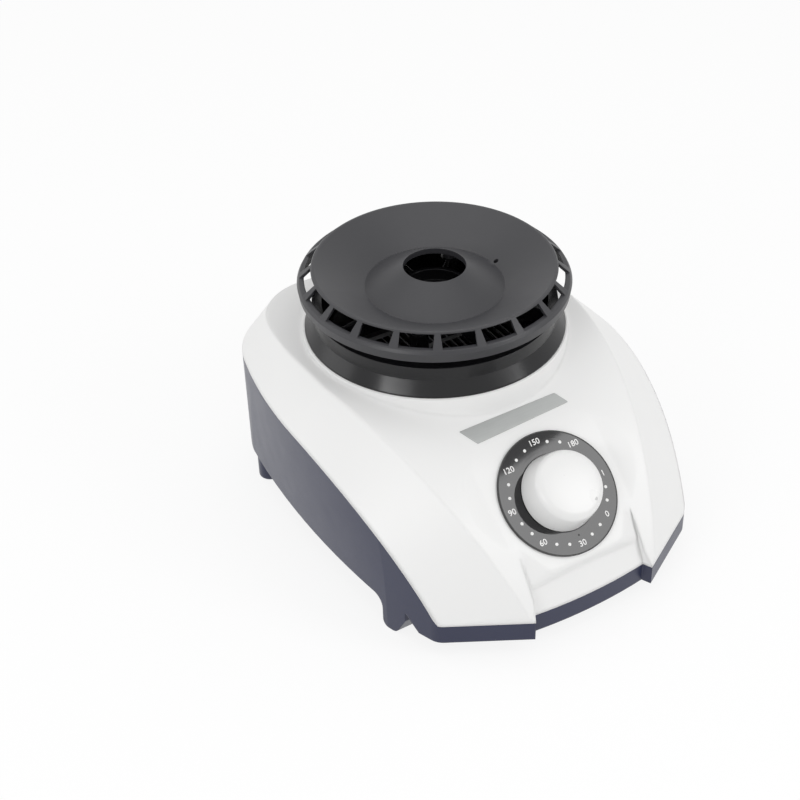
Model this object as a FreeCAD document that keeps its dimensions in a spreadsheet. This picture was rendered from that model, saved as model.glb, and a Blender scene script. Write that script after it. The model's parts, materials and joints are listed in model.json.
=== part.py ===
"""Table-top warm-air dryer blower with a mechanical timer, built as separate pieces.

Millimetres. X points to the right, Y to the back, Z up. The origin is on the table, under the
middle of the housing. The air outlet's axis is vertical at y = outlet_y.
"""
import FreeCAD
import Part
import math
import os
import Sketcher
from FreeCAD import Placement, Rotation, Vector

DIMENSIONS = (
    # Housing outline, seen from above
    ("half_width", 90.0),
    ("side_radius", 270.0),
    ("widest_y", 8.5),
    ("back_y", 110.0),
    ("corner_radius", 45.0),
    ("toe_corner_y", -87.5),
    ("toe_corner_radius", 9.0),
    ("toe_tip_x", 33.5),
    ("front_y", -110.0),
    ("toe_step", 4.5),
    ("strip_half", 31.5),
    ("strip_bulge", 2.0),
    # Housing outline, seen from the side
    ("crown_y", 10.5),
    ("crown_top", 92.5),
    ("crown_radius", 136.0),
    ("band_height", 20.0),
    ("band_inset", 19.5),
    ("toe_inset", 35.5),
    ("back_inset", 14.0),
    ("edge_lip", 0.7),
    ("toe_top", 18.9),
    ("toe_under", 8.8),
    ("floor_under", 16.2),
    ("wall", 2.5),
    ("foot_half_width", 85.3),
    ("foot_side_radius", 600.0),
    # Legs: swept feet at the front, round pegs at the back
    ("toe_step_y", -77.5),
    ("leg_inner_x", 70.0),
    ("foot_heel_y", -55.3),
    ("foot_toe_y", -64.0),
    ("foot_sweep", 6.2),
    ("foot_rounding", 3.0),
    ("foot_toe_rounding", 4.5),
    ("peg_x", 75.0),
    ("peg_y", 71.5),
    ("peg_radius", 6.0),
    ("peg_rounding", 1.5),
    # Outlet: boss, collar and cap, all about one vertical axis
    ("outlet_y", 26.5),
    ("boss_top", 94.7),
    ("boss_lip", 0.6),
    ("boss_flare", 0.9),
    ("spigot_radius", 57.0),
    ("spigot_wall", 2.0),
    ("spigot_depth", 10.0),
    ("flange_step", 7.0),
    ("flange_edge", 0.8),
    ("flange_height", 7.0),
    ("neck_step", 2.8),
    ("neck_height", 6.8),
    ("hook_width", 8.0),
    ("hook_thick", 1.6),
    ("hook_step", 3.6),
    ("hook_barb", 0.9),
    ("hub_radius", 17.5),
    ("hub_rim_z", 114.5),
    ("hub_floor_z", 108.5),
    ("cap_seat_z", 111.4),
    ("spoke_count", 8.0),
    ("spoke_thick", 2.0),
    ("spoke_base_z", 101.5),
    ("rim_radius", 58.7),
    ("rim_z", 127.8),
    ("valley_radius", 34.0),
    ("valley_z", 115.9),
    ("hole_radius", 15.2),
    ("hole_z", 126.7),
    ("ring_radius", 66.2),
    ("ring_top_z", 121.8),
    ("ring_low_z", 116.1),
    ("cap_wall", 2.0),
    ("window_count", 20.0),
    ("window_bar", 3.8),
    ("window_turn", -4.1),
    ("pin_hole_radius", 1.2),
    ("pin_hole_reach", 35.6),
    # Air duct, heater and fan on the same axis
    ("duct_gap", 0.4),
    ("duct_wall", 2.0),
    ("ledge_z", 66.5),
    ("ledge_width", 4.0),
    ("heater_height", 14.0),
    ("heater_row", 20.0),
    ("heater_half", 40.0),
    ("ptc_thick", 3.0),
    ("fin_pitch", 4.0),
    ("fin_thick", 0.8),
    ("guard_radius", 5.5),
    ("guard_flange", 3.0),
    ("guard_cap_radius", 4.5),
    ("guard_cap", 3.5),
    ("guard_tab", 5.0),
    ("guard_tab_x", 3.0),
    ("fuse_radius", 2.0),
    ("fuse_length", 9.0),
    ("fuse_lead", 4.0),
    ("fuse_lead_radius", 0.5),
    ("fan_tip_gap", 3.9),
    ("fan_hub_radius", 17.0),
    ("fan_low_z", 50.5),
    ("fan_height", 13.5),
    ("blade_count", 7.0),
    ("blade_chord", 22.0),
    ("blade_thick", 1.8),
    ("motor_radius", 25.0),
    ("motor_low_z", 24.0),
    ("motor_height", 24.0),
    ("motor_skin", 1.5),
    ("motor_end_room", 7.0),
    ("axle_radius", 2.5),
    ("bearing_radius", 6.0),
    ("bearing_height", 4.0),
    ("rotor_radius", 13.3),
    ("tooth_count", 6.0),
    ("tooth_half", 2.5),
    ("yoke_thick", 3.0),
    ("coil_depth", 5.0),
    ("coil_over", 2.5),
    ("running_gap", 0.05),
    ("thread_gap", 0.1),
    ("air_gap", 0.5),
    ("bracket_thick", 2.0),
    ("bracket_gap", 7.4),
    ("bracket_arm", 10.0),
    ("slot_count", 24.0),
    ("slot_width", 3.0),
    ("slot_inner", 23.0),
    ("slot_outer", 44.0),
    # Timer on the sloping panel
    ("dial_y", -77.8),
    ("dial_z", 57.7),
    ("panel_tilt", 38.5),
    ("panel_upper", 42.0),
    ("panel_lower", 40.0),
    ("panel_top_half", 35.0),
    ("panel_low_half", 34.0),
    ("panel_rim_slope", 6.0),
    ("panel_blend_radius", 70.0),
    ("panel_blend_over", 0.5),
    ("nose_upper", 14.0),
    ("nose_lower", 32.2),
    ("nose_depth", 8.0),
    ("nose_top_half", 31.0),
    ("nose_low_half", 20.0),
    ("nose_side_slope", 2.0),
    ("nose_front_slope", 0.4),
    ("nose_corner", 6.0),
    ("nose_rounding", 2.5),
    ("chin_lean", 0.5),
    ("dial_radius", 30.0),
    ("dial_thick", 1.2),
    ("knob_radius", 19.6),
    ("knob_taper", 2.8),
    ("knob_height", 9.5),
    ("knob_dome", 3.0),
    ("knob_lift", 1.0),
    ("stem_radius", 3.0),
    ("stem_hole", 4.5),
    ("timer_width", 44.0),
    ("timer_depth", 26.0),
    ("timer_plate_thick", 1.2),
    ("timer_screw_x", 17.0),
    ("timer_screw_bore", 6.0),
    ("shaft_reach", 10.0),
    ("shaft_end_gap", 0.3),
    ("tab_width", 6.3),
    ("tab_thick", 0.8),
    ("tab_length", 8.0),
    ("tab_x", 12.0),
    ("tab_low_y", -2.0),
    ("tab_high_y", 12.0),
    # Fasteners and electrical pieces
    ("post_radius", 4.5),
    ("post_joint_z", 47.5),
    ("front_post_x", 68.0),
    ("front_post_y", -29.5),
    ("back_post_x", 58.0),
    ("back_post_y", 86.5),
    ("screw_radius", 1.6),
    ("screw_head", 3.2),
    ("screw_head_height", 2.0),
    ("screw_slot", 0.8),
    ("cover_screw_grip", 14.0),
    ("bracket_screw_grip", 4.5),
    ("cap_screw_grip", 3.0),
    ("timer_screw_grip", 4.0),
    ("gland_x", 26.0),
    ("gland_z", 36.5),
    ("gland_radius", 7.0),
    ("gland_bore", 3.6),
    ("block_length", 34.0),
    ("block_width", 12.0),
    ("block_height", 14.0),
    ("block_poles", 4.0),
    ("pole_radius", 2.4),
    ("pole_depth", 7.0),
    ("wire_radius", 1.8),
    ("wire_z", 4.0),
    ("cap_screw_radius", 34.0),
)

doc = FreeCAD.newDocument("warm_air_dryer")
sheet = doc.addObject("Spreadsheet::Sheet", "dims")
for row, (alias, value) in enumerate(DIMENSIONS, 1):
    sheet.set("A%d" % row, alias)
    sheet.set("B%d" % row, str(value))
    sheet.setAlias("B%d" % row, alias)
doc.recompute()

PIECES = []


class Sizes:
    """Reads a driving dimension from the sheet by its name."""

    def __getattr__(self, name):
        return float(sheet.get(name))


d = Sizes()

# Values that follow from the driving dimensions
UP = Vector(0, 0, 1)
CROWN_AXIS_Z = d.crown_top - d.crown_radius
PARTING_RADIUS = d.crown_radius - d.band_height
PARTING_Z = d.crown_top - d.band_height
FLOOR_TOP = d.floor_under + d.wall
DUCT_BORE = d.spigot_radius + d.duct_gap
BOSS_RADIUS = d.spigot_radius + d.flange_step + d.boss_lip
HOOK_RADIUS = d.spigot_radius + d.hook_step
BRACKET_RADIUS = DUCT_BORE - d.bracket_gap
HEATER_LOW_Z = d.ledge_z + d.wall
SPAN = 2.0 * (d.half_width + d.back_y)
HULL_MARGIN = 6.0
BAND_LAST_ANGLE = 70.0
BAND_STEP = 10.0
TOE_ANGLE = 60.0

# The same kind of values as expressions for the sketches
BORE = "(dims.spigot_radius - dims.spigot_wall)"
NECK = "(dims.spigot_radius + dims.neck_step)"
FLANGE = "(dims.spigot_radius + dims.flange_step)"
HOOK = "(dims.spigot_radius + dims.hook_step)"
DUCT = "(dims.spigot_radius + dims.duct_gap)"
FAN_TIP = "(dims.spigot_radius + dims.duct_gap - dims.fan_tip_gap)"
BRACKET = "(dims.spigot_radius + dims.duct_gap - dims.bracket_gap)"
CORE_LOW = "dims.motor_low_z + dims.motor_end_room"
CORE_HIGH = "dims.motor_low_z + dims.motor_height - dims.motor_end_room"


def keep(piece, label):
    """Names a finished sub-part and puts it on the list of files to write."""
    piece.Label = label
    PIECES.append(piece)
    return piece


def feature(label, shape, placement=None):
    """A sub-part whose shape is worked out here rather than sketched."""
    piece = doc.addObject("Part::Feature", label)
    piece.Shape = shape
    if placement:
        piece.Placement = placement
    return keep(piece, label)


def panel_frame():
    """Local frame of the dial: origin at its centre, local Z out of the sloping panel."""
    return Placement(Vector(0, d.dial_y, d.dial_z), Rotation(Vector(1, 0, 0), d.panel_tilt))


def outlet_frame():
    """Local frame on the outlet's axis, at table height."""
    return Placement(Vector(0, d.outlet_y, 0), Rotation())


# Sketches and bodies


def new_body(label, frame=None):
    """An empty body. Its place follows the sheet where it stands on the outlet's axis or the panel."""
    body = doc.addObject("PartDesign::Body", label)
    if frame == "outlet":
        body.Placement = outlet_frame()
        body.setExpression("Placement.Base.y", "dims.outlet_y")
    if frame == "panel":
        body.Placement = panel_frame()
        body.setExpression("Placement.Base.y", "dims.dial_y")
        body.setExpression("Placement.Base.z", "dims.dial_z")
        body.setExpression("Placement.Rotation.Angle", "dims.panel_tilt")
    return keep(body, label)


def origin_feature(body, role):
    """A plane or axis of the body's own origin."""
    return next(item for item in body.Origin.OriginFeatures if item.Role == role)


def new_sketch(body, name, role, height="0"):
    """A sketch on one of the body's origin planes, raised along its normal by an expression."""
    sketch = body.newObject("Sketcher::SketchObject", name)
    sketch.AttachmentSupport = [(origin_feature(body, role), "")]
    sketch.MapMode = "FlatFace"
    if height != "0":
        sketch.setExpression("AttachmentOffset.Base.z", height)
    return sketch


def pin_point(sketch, geometry, position, across, along):
    """Fixes a point of a sketch at two expressions, measured from the sketch's origin."""
    for kind, axis, text in (("DistanceX", -2, across), ("DistanceY", -1, along)):
        if text == "0":
            sketch.addConstraint(Sketcher.Constraint("PointOnObject", geometry, position, axis))
            continue
        value = float(sketch.evalExpression(text))
        index = sketch.addConstraint(Sketcher.Constraint(kind, -1, 1, geometry, position, value))
        sketch.setExpression("Constraints[%d]" % index, text)


def add_polygon(sketch, corners):
    """A closed polygon whose corners are pairs of expressions."""
    points = [Vector(*[float(sketch.evalExpression(text)) for text in corner], 0) for corner in corners]
    count = len(points)
    first = sketch.GeometryCount
    for i in range(count):
        sketch.addGeometry(Part.LineSegment(points[i], points[(i + 1) % count]))
    for i in range(count):
        after = first + (i + 1) % count
        sketch.addConstraint(Sketcher.Constraint("Coincident", first + i, 2, after, 1))
    for i, (across, along) in enumerate(corners):
        pin_point(sketch, first + i, 1, across, along)


def add_circle(sketch, across, along, radius):
    """A circle whose centre and radius are expressions."""
    centre = Vector(float(sketch.evalExpression(across)), float(sketch.evalExpression(along)), 0)
    size = float(sketch.evalExpression(radius))
    index = sketch.addGeometry(Part.Circle(centre, Vector(0, 0, 1), size))
    pin_point(sketch, index, 3, across, along)
    constraint = sketch.addConstraint(Sketcher.Constraint("Radius", index, size))
    sketch.setExpression("Constraints[%d]" % constraint, radius)


def turn(body, corners, name="turned"):
    """A solid of revolution about the body's vertical axis, from corners given as (radius, height)."""
    sketch = new_sketch(body, name + "_profile", "XZ_Plane")
    add_polygon(sketch, corners)
    turned = body.newObject("PartDesign::Revolution", name)
    turned.Profile = sketch
    turned.ReferenceAxis = (sketch, ["V_Axis"])
    turned.Angle = 360
    sketch.Visibility = False
    doc.recompute()
    return turned


def pad(body, sketch, length, name="pad", reverse=False):
    """Raises a sketch to a solid."""
    raised = body.newObject("PartDesign::Pad", name)
    raised.Profile = sketch
    raised.setExpression("Length", length)
    raised.Reversed = reverse
    doc.recompute()
    return raised


def pocket(body, sketch, length, name, reverse=False):
    """Cuts a sketch out of the solid, and makes sure that it took material away."""
    before = body.Shape.Volume
    cut = body.newObject("PartDesign::Pocket", name)
    cut.Profile = sketch
    cut.setExpression("Length", length)
    cut.Reversed = reverse
    doc.recompute()
    if not body.Shape.Volume < before:
        raise RuntimeError("%s cuts nothing" % name)
    return cut


def polar(body, original, count, name):
    """Repeats a feature round the body's vertical axis."""
    ring = body.newObject("PartDesign::PolarPattern", name)
    ring.Originals = [original]
    ring.Axis = (origin_feature(body, "Z_Axis"), [""])
    ring.Angle = 360
    ring.setExpression("Occurrences", count)
    body.Tip = ring
    doc.recompute()
    return ring


# Shapes of the housing


def point(x, y, z=0.0):
    return Vector(x, y, z)


def line(a, b):
    return Part.LineSegment(a, b).toShape()


def arc(a, middle, b):
    return Part.Arc(a, middle, b).toShape()


def side_x(y, half_width, radius, widest_y):
    """Half width of an outline whose sides are arcs, at one place along its length."""
    return half_width - radius + math.sqrt(radius ** 2 - (y - widest_y) ** 2)


def outline_x(y):
    return side_x(y, d.half_width, d.side_radius, d.widest_y)


def back_corner():
    """Centre of the right back corner's arc, tangent to the side arc and to the back."""
    y = d.back_y - d.corner_radius
    reach = d.side_radius - d.corner_radius
    x = d.half_width - d.side_radius + math.sqrt(reach ** 2 - (y - d.widest_y) ** 2)
    return x, y


def mirrored(half):
    """A closed wire from the edges of its right half, given from the back to the front."""
    edges = list(half)
    for edge in half:
        edges.append(edge.mirror(Vector(), Vector(1, 0, 0)))
    return Part.Wire(Part.__sortEdges__(edges))


def toe_rounding(inset):
    """Start, middle and end of the arc that rounds the corner between a side and a toe."""
    corner = point(outline_x(d.toe_corner_y), d.toe_corner_y)
    to_side = (point(outline_x(d.toe_corner_y + 1), d.toe_corner_y + 1) - corner).normalize()
    to_tip = (point(d.toe_tip_x, d.front_y) - corner).normalize()
    half_open = to_side.getAngle(to_tip) / 2
    reach = d.toe_corner_radius / math.tan(half_open)
    centre = corner + (to_side + to_tip).normalize() * (d.toe_corner_radius / math.sin(half_open))
    side_y = d.toe_corner_y + reach * to_side.y
    ends = [point(outline_x(side_y), side_y), corner, corner + to_tip * reach]
    return [centre + (end - centre).normalize() * (d.toe_corner_radius - inset) for end in ends]


def plan_face(inset=0.0):
    """The housing's outline from above: back, rounded corners, bowed sides, toes and centre strip.

    The inset draws it in by a wall's thickness. The toes' tips are then left solid.
    """
    x, y = back_corner()
    slope = math.atan2(y - d.widest_y, x - d.half_width + d.side_radius)
    bend = (slope + math.pi / 2) / 2
    radius = d.corner_radius - inset
    rear = y + radius
    tangent = point(x + radius * math.cos(slope), y + radius * math.sin(slope))
    middle = point(x + radius * math.cos(bend), y + radius * math.sin(bend))
    toe_start, toe_middle, toe_end = toe_rounding(inset)
    strip_y = d.front_y + d.toe_step + inset
    strip_end = point(d.strip_half - inset, strip_y)
    halfway = point(strip_end.x / 2, strip_y - 0.75 * d.strip_bulge)
    strip_middle = point(0, strip_y - d.strip_bulge)
    toe_tip = point(d.toe_tip_x, d.front_y)
    if inset:
        along = (toe_tip - point(outline_x(d.toe_corner_y), d.toe_corner_y)).normalize()
        toe_tip = toe_end + along * ((strip_y - toe_end.y) / along.y)
    half = [
        line(point(0, rear), point(x, rear)),
        arc(point(x, rear), middle, tangent),
        arc(tangent, point(d.half_width - inset, d.widest_y), toe_start),
        arc(toe_start, toe_middle, toe_end),
        line(toe_end, toe_tip),
        line(toe_tip, strip_end),
        arc(strip_end, halfway, strip_middle),
    ]
    return Part.Face(mirrored(half))


def plan_prism(inset=0.0):
    """Everything inside the outline, from the table to above the cap."""
    return plan_face(inset).extrude(UP * (d.rim_z + d.wall))


def side_prism(edges):
    """A profile in the Y-Z plane, carried across the whole width."""
    face = Part.Face(Part.Wire(Part.__sortEdges__(edges)))
    face.translate(Vector(-SPAN / 2, 0, 0))
    return face.extrude(Vector(SPAN, 0, 0))


def crown_point(radius, angle):
    """A point of an arc about the crown's cross axis, at an angle from straight up to the front."""
    turned = math.radians(angle)
    return point(0, d.crown_y - radius * math.sin(turned), CROWN_AXIS_Z + radius * math.cos(turned))


def angle_at(radius, z):
    """Angle at which an arc about the crown's cross axis comes down to a height."""
    return math.degrees(math.acos((z - CROWN_AXIS_Z) / radius))


def crown_profile(inset, sink):
    """Region between the parting line and the crown, seen from the side.

    The inset lowers the crown, and sink carries the region down through the parting line.
    """
    top = d.crown_radius - inset
    low = PARTING_RADIUS - sink
    floor = d.toe_top - sink
    far = d.back_y + d.wall
    low_end = crown_point(low, angle_at(low, floor))
    top_end = crown_point(top, angle_at(top, floor))
    return [
        line(point(0, far, CROWN_AXIS_Z + low), crown_point(low, 0)),
        arc(crown_point(low, 0), crown_point(low, angle_at(low, floor) / 2), low_end),
        line(low_end, top_end),
        arc(top_end, crown_point(top, angle_at(top, floor) / 2), crown_point(top, 0)),
        line(crown_point(top, 0), point(0, far, CROWN_AXIS_Z + top)),
        line(point(0, far, CROWN_AXIS_Z + top), point(0, far, CROWN_AXIS_Z + low)),
    ]


def band_hull(inset):
    """The creased sides: front part about the crown's axis, back part round the rear corners."""
    shift = inset * math.sqrt(2.0) - d.edge_lip
    reach = HULL_MARGIN / d.band_height
    sections = []
    angle = 0.0
    while angle <= BAND_LAST_ANGLE:
        lean = d.band_inset + (d.toe_inset - d.band_inset) * angle / TOE_ANGLE
        edge_x = outline_x(crown_point(PARTING_RADIUS, angle).y) - shift
        low = crown_point(PARTING_RADIUS - HULL_MARGIN, angle)
        high = crown_point(d.crown_radius + HULL_MARGIN, angle)
        low_x = Vector(edge_x + reach * lean, 0, 0)
        high_x = Vector(edge_x - (1 + reach) * lean, 0, 0)
        corners = [low - low_x, high - high_x, high + high_x, low + low_x, low - low_x]
        sections.append(Part.makePolygon(corners))
        angle += BAND_STEP
    front = Part.makeLoft(sections, True, False)
    low_ring = rear_ring(-reach, PARTING_Z - HULL_MARGIN, shift)
    high_ring = rear_ring(1 + reach, d.crown_top + HULL_MARGIN, shift)
    back = Part.makeLoft([low_ring, high_ring], True, True)
    return front.fuse(back)


def rear_ring(share, z, shift):
    """Outline of the rear half at one height: share 0 is the parting line, 1 is the crease."""
    x, y = back_corner()
    radius = d.corner_radius - share * d.back_inset - shift
    slope = math.atan2(y - d.widest_y, x - d.half_width + d.side_radius)
    bend = (slope + math.pi / 2) / 2
    start = point(outline_x(d.crown_y) - shift - share * d.band_inset, d.crown_y, z)
    tangent = point(x + radius * math.cos(slope), y + radius * math.sin(slope), z)
    middle = point(x + radius * math.cos(bend), y + radius * math.sin(bend), z)
    handle = (tangent - start).Length / 3.0
    curve = Part.BezierCurve()
    bent = tangent + Vector(math.sin(slope), -math.cos(slope), 0) * handle
    curve.setPoles([start, start + Vector(0, handle, 0), bent, tangent])
    half = [
        line(point(0, y + radius, z), point(x, y + radius, z)),
        arc(point(x, y + radius, z), middle, tangent),
        curve.toShape(),
        line(start, point(0, d.crown_y, z)),
    ]
    return mirrored(half)


def boss(inset):
    """Round boss that carries the collar, standing out of the crown's slope at the front."""
    depth = d.boss_top - PARTING_Z
    high = BOSS_RADIUS - inset
    low = high + d.boss_flare * depth / d.flange_height
    return Part.makeCone(low, high, depth - inset, point(0, d.outlet_y, PARTING_Z), UP)


def panel_room(inset):
    """Room over the dial panel, seen from the side: flat at the dial, rounded up into the crown."""
    frame = panel_frame()
    out = frame.Rotation.multVec(UP)
    uphill = frame.Rotation.multVec(Vector(0, 1, 0))
    dial = frame.Base
    axis = point(0, d.crown_y, CROWN_AXIS_Z)
    radius = d.panel_blend_radius
    depth = (dial - axis).dot(out)
    run = math.sqrt((d.crown_radius - radius) ** 2 - (depth - radius) ** 2) + d.panel_blend_over
    centre = axis + uphill * run + out * (depth - radius)
    away = (centre - axis).normalize()
    middle = (out + away).normalize()
    low = dial - uphill * d.panel_lower - out * inset
    start, bend, end = [centre + way * (radius - inset) for way in (out, middle, away)]
    above = end + away * d.band_height
    below = low + out * d.band_height
    return side_prism([
        line(low, start), arc(start, bend, end), line(end, above), line(above, below), line(below, low)])


def panel_funnel(inset):
    """Room between the gently sloping sides of the dial panel."""
    rings = []
    for level in (-2 * d.wall, 2 * d.wall):
        grow = d.panel_rim_slope * level + inset * math.hypot(1.0, d.panel_rim_slope)
        wide = d.panel_top_half + grow
        narrow = d.panel_low_half + grow
        upper, lower = d.panel_upper, -d.panel_lower
        corners = [(-wide, upper), (wide, upper), (narrow, lower), (-narrow, lower), (-wide, upper)]
        rings.append(Part.makePolygon([point(x, y, level) for x, y in corners]))
    funnel = Part.makeLoft(rings, True, True)
    funnel.Placement = panel_frame()
    return funnel


def panel_nose(inset):
    """Lower end of the dial panel, which stands proud of the crown and has rounded edges."""
    taper = (d.nose_top_half - d.nose_low_half) / (d.nose_lower - d.nose_upper)
    rings = []
    for level in (-inset, -inset - d.nose_depth):
        aside = -d.nose_side_slope * level - inset * math.hypot(1.0, d.nose_side_slope)
        ahead = -d.nose_front_slope * level - inset * math.hypot(1.0, d.nose_front_slope)
        wide = d.nose_top_half + aside
        narrow = d.nose_low_half + aside - taper * ahead
        upper, lower = -d.nose_upper, -d.nose_lower - ahead
        corners = [(-wide, upper), (wide, upper), (narrow, lower), (-narrow, lower), (-wide, upper)]
        rings.append(Part.makePolygon([point(x, y, level) for x, y in corners]))
    nose = Part.makeLoft(rings, True, True)
    if not inset:
        front = [edge for edge in nose.Edges if edge.BoundBox.YMax < -d.nose_upper - d.wall]
        corners = [edge for edge in front if edge.BoundBox.ZLength > d.wall]
        nose = nose.makeFillet(d.nose_corner, corners)
        low = -d.nose_upper - d.wall
        rim = [edge for edge in nose.Edges if edge.BoundBox.ZMin > -d.wall and edge.BoundBox.YMin < low]
        nose = nose.makeFillet(d.nose_rounding, rim)
    nose.Placement = panel_frame()
    return nose


def chin_room(inset):
    """Room in front of the chin, which leans back from the centre strip up to the dial panel."""
    half = d.strip_half + inset
    ahead = d.front_y - d.strip_half
    rings = []
    for z in (0.0, d.crown_top / 2):
        ends = d.front_y + d.toe_step + inset * math.hypot(1.0, d.chin_lean)
        ends += d.chin_lean * (z - d.toe_top - d.edge_lip)
        left, right = point(-half, ends, z), point(half, ends, z)
        far_left, far_right = point(-half, ahead, z), point(half, ahead, z)
        edges = [
            arc(left, point(0, ends - d.strip_bulge, z), right),
            line(right, far_right), line(far_right, far_left), line(far_left, left)]
        rings.append(Part.Wire(edges))
    return Part.makeLoft(rings, True, True)


def cover_body(inset, sink):
    """The cover as a full solid, drawn in by the wall where its inside is wanted."""
    plan = plan_prism(inset)
    body = side_prism(crown_profile(inset, sink)).common(plan).common(band_hull(inset))
    body = body.cut([panel_room(inset).common(panel_funnel(inset)), chin_room(inset)])
    room = side_prism(crown_profile(-3 * HULL_MARGIN, sink)).common(plan)
    return body.fuse([panel_nose(inset).common(room), boss(inset).common(room)])


def posts():
    """Places of the four screw posts that hold the two housing halves together."""
    for side in (-1, 1):
        yield side * d.front_post_x, d.front_post_y
        yield side * d.back_post_x, d.back_post_y


def make_top_cover():
    outer = cover_body(0.0, 0.0)
    shell = outer.cut(cover_body(d.wall, HULL_MARGIN))
    room = cover_body(0.0, PARTING_Z - d.post_joint_z + HULL_MARGIN)
    stems = []
    cuts = [Part.makeCylinder(d.spigot_radius + d.duct_gap, d.rim_z, point(0, d.outlet_y, PARTING_Z))]
    for x, y in posts():
        stem = Part.makeCylinder(d.post_radius, d.rim_z, point(x, y, d.post_joint_z))
        stems.append(stem.common(room))
        cuts.append(Part.makeCylinder(d.screw_radius, d.band_height, point(x, y, d.post_joint_z)))
    for angle in range(0, 360, 90):
        cuts.append(hook_slot(angle))
    cuts.append(panel_holes())
    feature("top_cover", shell.fuse(stems).cut(cuts).removeSplitter())


def hook_slot(angle):
    """Slot in the boss for one of the collar's snap hooks."""
    thick = d.hook_thick + 2 * d.duct_gap
    wide = d.hook_width + 2 * d.duct_gap
    slot = Part.makeBox(thick, wide, 3 * d.wall, point(HOOK_RADIUS - thick / 2, -wide / 2, -2 * d.wall))
    slot.rotate(point(0, 0), UP, angle)
    slot.translate(point(0, d.outlet_y, d.boss_top))
    return slot


def panel_holes():
    """Holes of the timer's shaft and its two countersunk screws, square to the panel."""
    depth = 3 * d.wall
    holes = [Part.makeCylinder(d.stem_hole, 2 * depth, point(0, 0, -depth))]
    for side in (-1, 1):
        place = side * d.timer_screw_x
        holes.append(Part.makeCylinder(d.screw_radius, 2 * depth, point(place, 0, -depth)))
        holes.append(Part.makeCylinder(d.screw_head, depth, point(place, 0, -d.screw_head_height / 2)))
    group = holes[0].fuse(holes[1:])
    group.Placement = panel_frame()
    return group


def draft_hull(inset):
    """Side walls of the base, leaning out from the feet to the parting line."""
    top_z = PARTING_Z + HULL_MARGIN
    rings = []
    for z, half_width, radius in (
            (0.0, d.foot_half_width, d.foot_side_radius),
            (top_z, d.half_width + 0.4, d.side_radius)):
        front = d.front_y - d.toe_step
        rear = d.back_y + d.wall
        places = (rear, (front + rear) / 2, front)
        a, b, c = [point(side_x(y, half_width, radius, d.widest_y) - inset, y, z) for y in places]
        half = [line(point(0, rear, z), a), arc(a, b, c), line(c, point(0, front, z))]
        rings.append(mirrored(half))
    return Part.makeLoft(rings, True, True)


def below_parting(sink):
    """Region under the parting line, seen from the side."""
    end = crown_point(PARTING_RADIUS, angle_at(PARTING_RADIUS, d.toe_top))
    top = crown_point(PARTING_RADIUS, 0)
    middle = crown_point(PARTING_RADIUS, angle_at(PARTING_RADIUS, d.toe_top) / 2)
    far = d.back_y + d.wall
    near = d.front_y - d.wall
    return side_prism([
        line(point(0, far, -sink), point(0, far, PARTING_Z)),
        line(point(0, far, PARTING_Z), top),
        arc(top, middle, end),
        line(end, point(0, near, d.toe_top)),
        line(point(0, near, d.toe_top), point(0, near, -sink)),
        line(point(0, near, -sink), point(0, far, -sink)),
    ])


def floor_prism(rise, top):
    """Region above or below the stepped floor: rise lifts its line, top is the far side's height."""
    step_y = d.toe_step_y
    far = d.back_y + d.wall
    near = d.front_y - d.wall
    high = d.floor_under + rise
    low = d.toe_under + rise
    corners = [
        point(0, far, top), point(0, far, high), point(0, step_y + high - low, high),
        point(0, step_y, low), point(0, near, low), point(0, near, top)]
    edges = [line(corners[i], corners[(i + 1) % len(corners)]) for i in range(len(corners))]
    return side_prism(edges)


def front_feet():
    """The two front feet, seen from the side: swept up to the floor behind, slanted in front."""
    high = d.floor_under + d.wall
    heel = d.foot_heel_y
    toe = d.foot_toe_y
    sweep = d.foot_sweep
    small = d.foot_rounding
    bend = 1 - math.sqrt(0.5)
    sweep_end = point(0, heel + sweep, d.floor_under)
    sweep_low = point(0, heel, d.floor_under - sweep)
    sweep_middle = point(0, heel + sweep * bend, d.floor_under - sweep * bend)
    rear = point(0, heel, small)
    under = point(0, heel - small, 0)
    rear_middle = point(0, heel - small * bend, small * bend)
    front = point(0, toe, 0)
    front_top = point(0, toe - d.toe_under + small, d.toe_under + d.wall)
    side = side_prism([
        line(point(0, heel + sweep, high), sweep_end),
        arc(sweep_end, sweep_middle, sweep_low),
        line(sweep_low, rear),
        arc(rear, rear_middle, under),
        line(under, front),
        line(front, front_top),
        line(front_top, point(0, front_top.y, high)),
        line(point(0, front_top.y, high), point(0, heel + sweep, high)),
    ])
    low = [edge for edge in side.Edges if edge.BoundBox.ZMax < small and edge.BoundBox.YMax < toe + small / 2]
    side = side.makeFillet(d.foot_toe_rounding, [edge for edge in low if edge.BoundBox.XLength > SPAN / 2])
    middle = Part.makeBox(2 * d.leg_inner_x, SPAN, high, point(-d.leg_inner_x, -SPAN / 2, 0))
    return side.cut(middle)


def back_pegs():
    """Two round pegs near the back corners, with rounded lower edges."""
    pegs = []
    for side in (-1, 1):
        peg = Part.makeCylinder(d.peg_radius, d.floor_under + d.wall / 2, point(side * d.peg_x, d.peg_y, 0))
        low = [edge for edge in peg.Edges if edge.BoundBox.ZMax < d.peg_rounding]
        pegs.append(peg.makeFillet(d.peg_rounding, low))
    return pegs


def bracket_spots():
    """Four places round the outlet's axis where the motor bracket is screwed down."""
    for quarter in range(4):
        turned = math.radians(45 + 90 * quarter)
        yield BRACKET_RADIUS * math.cos(turned), d.outlet_y + BRACKET_RADIUS * math.sin(turned)


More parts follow.
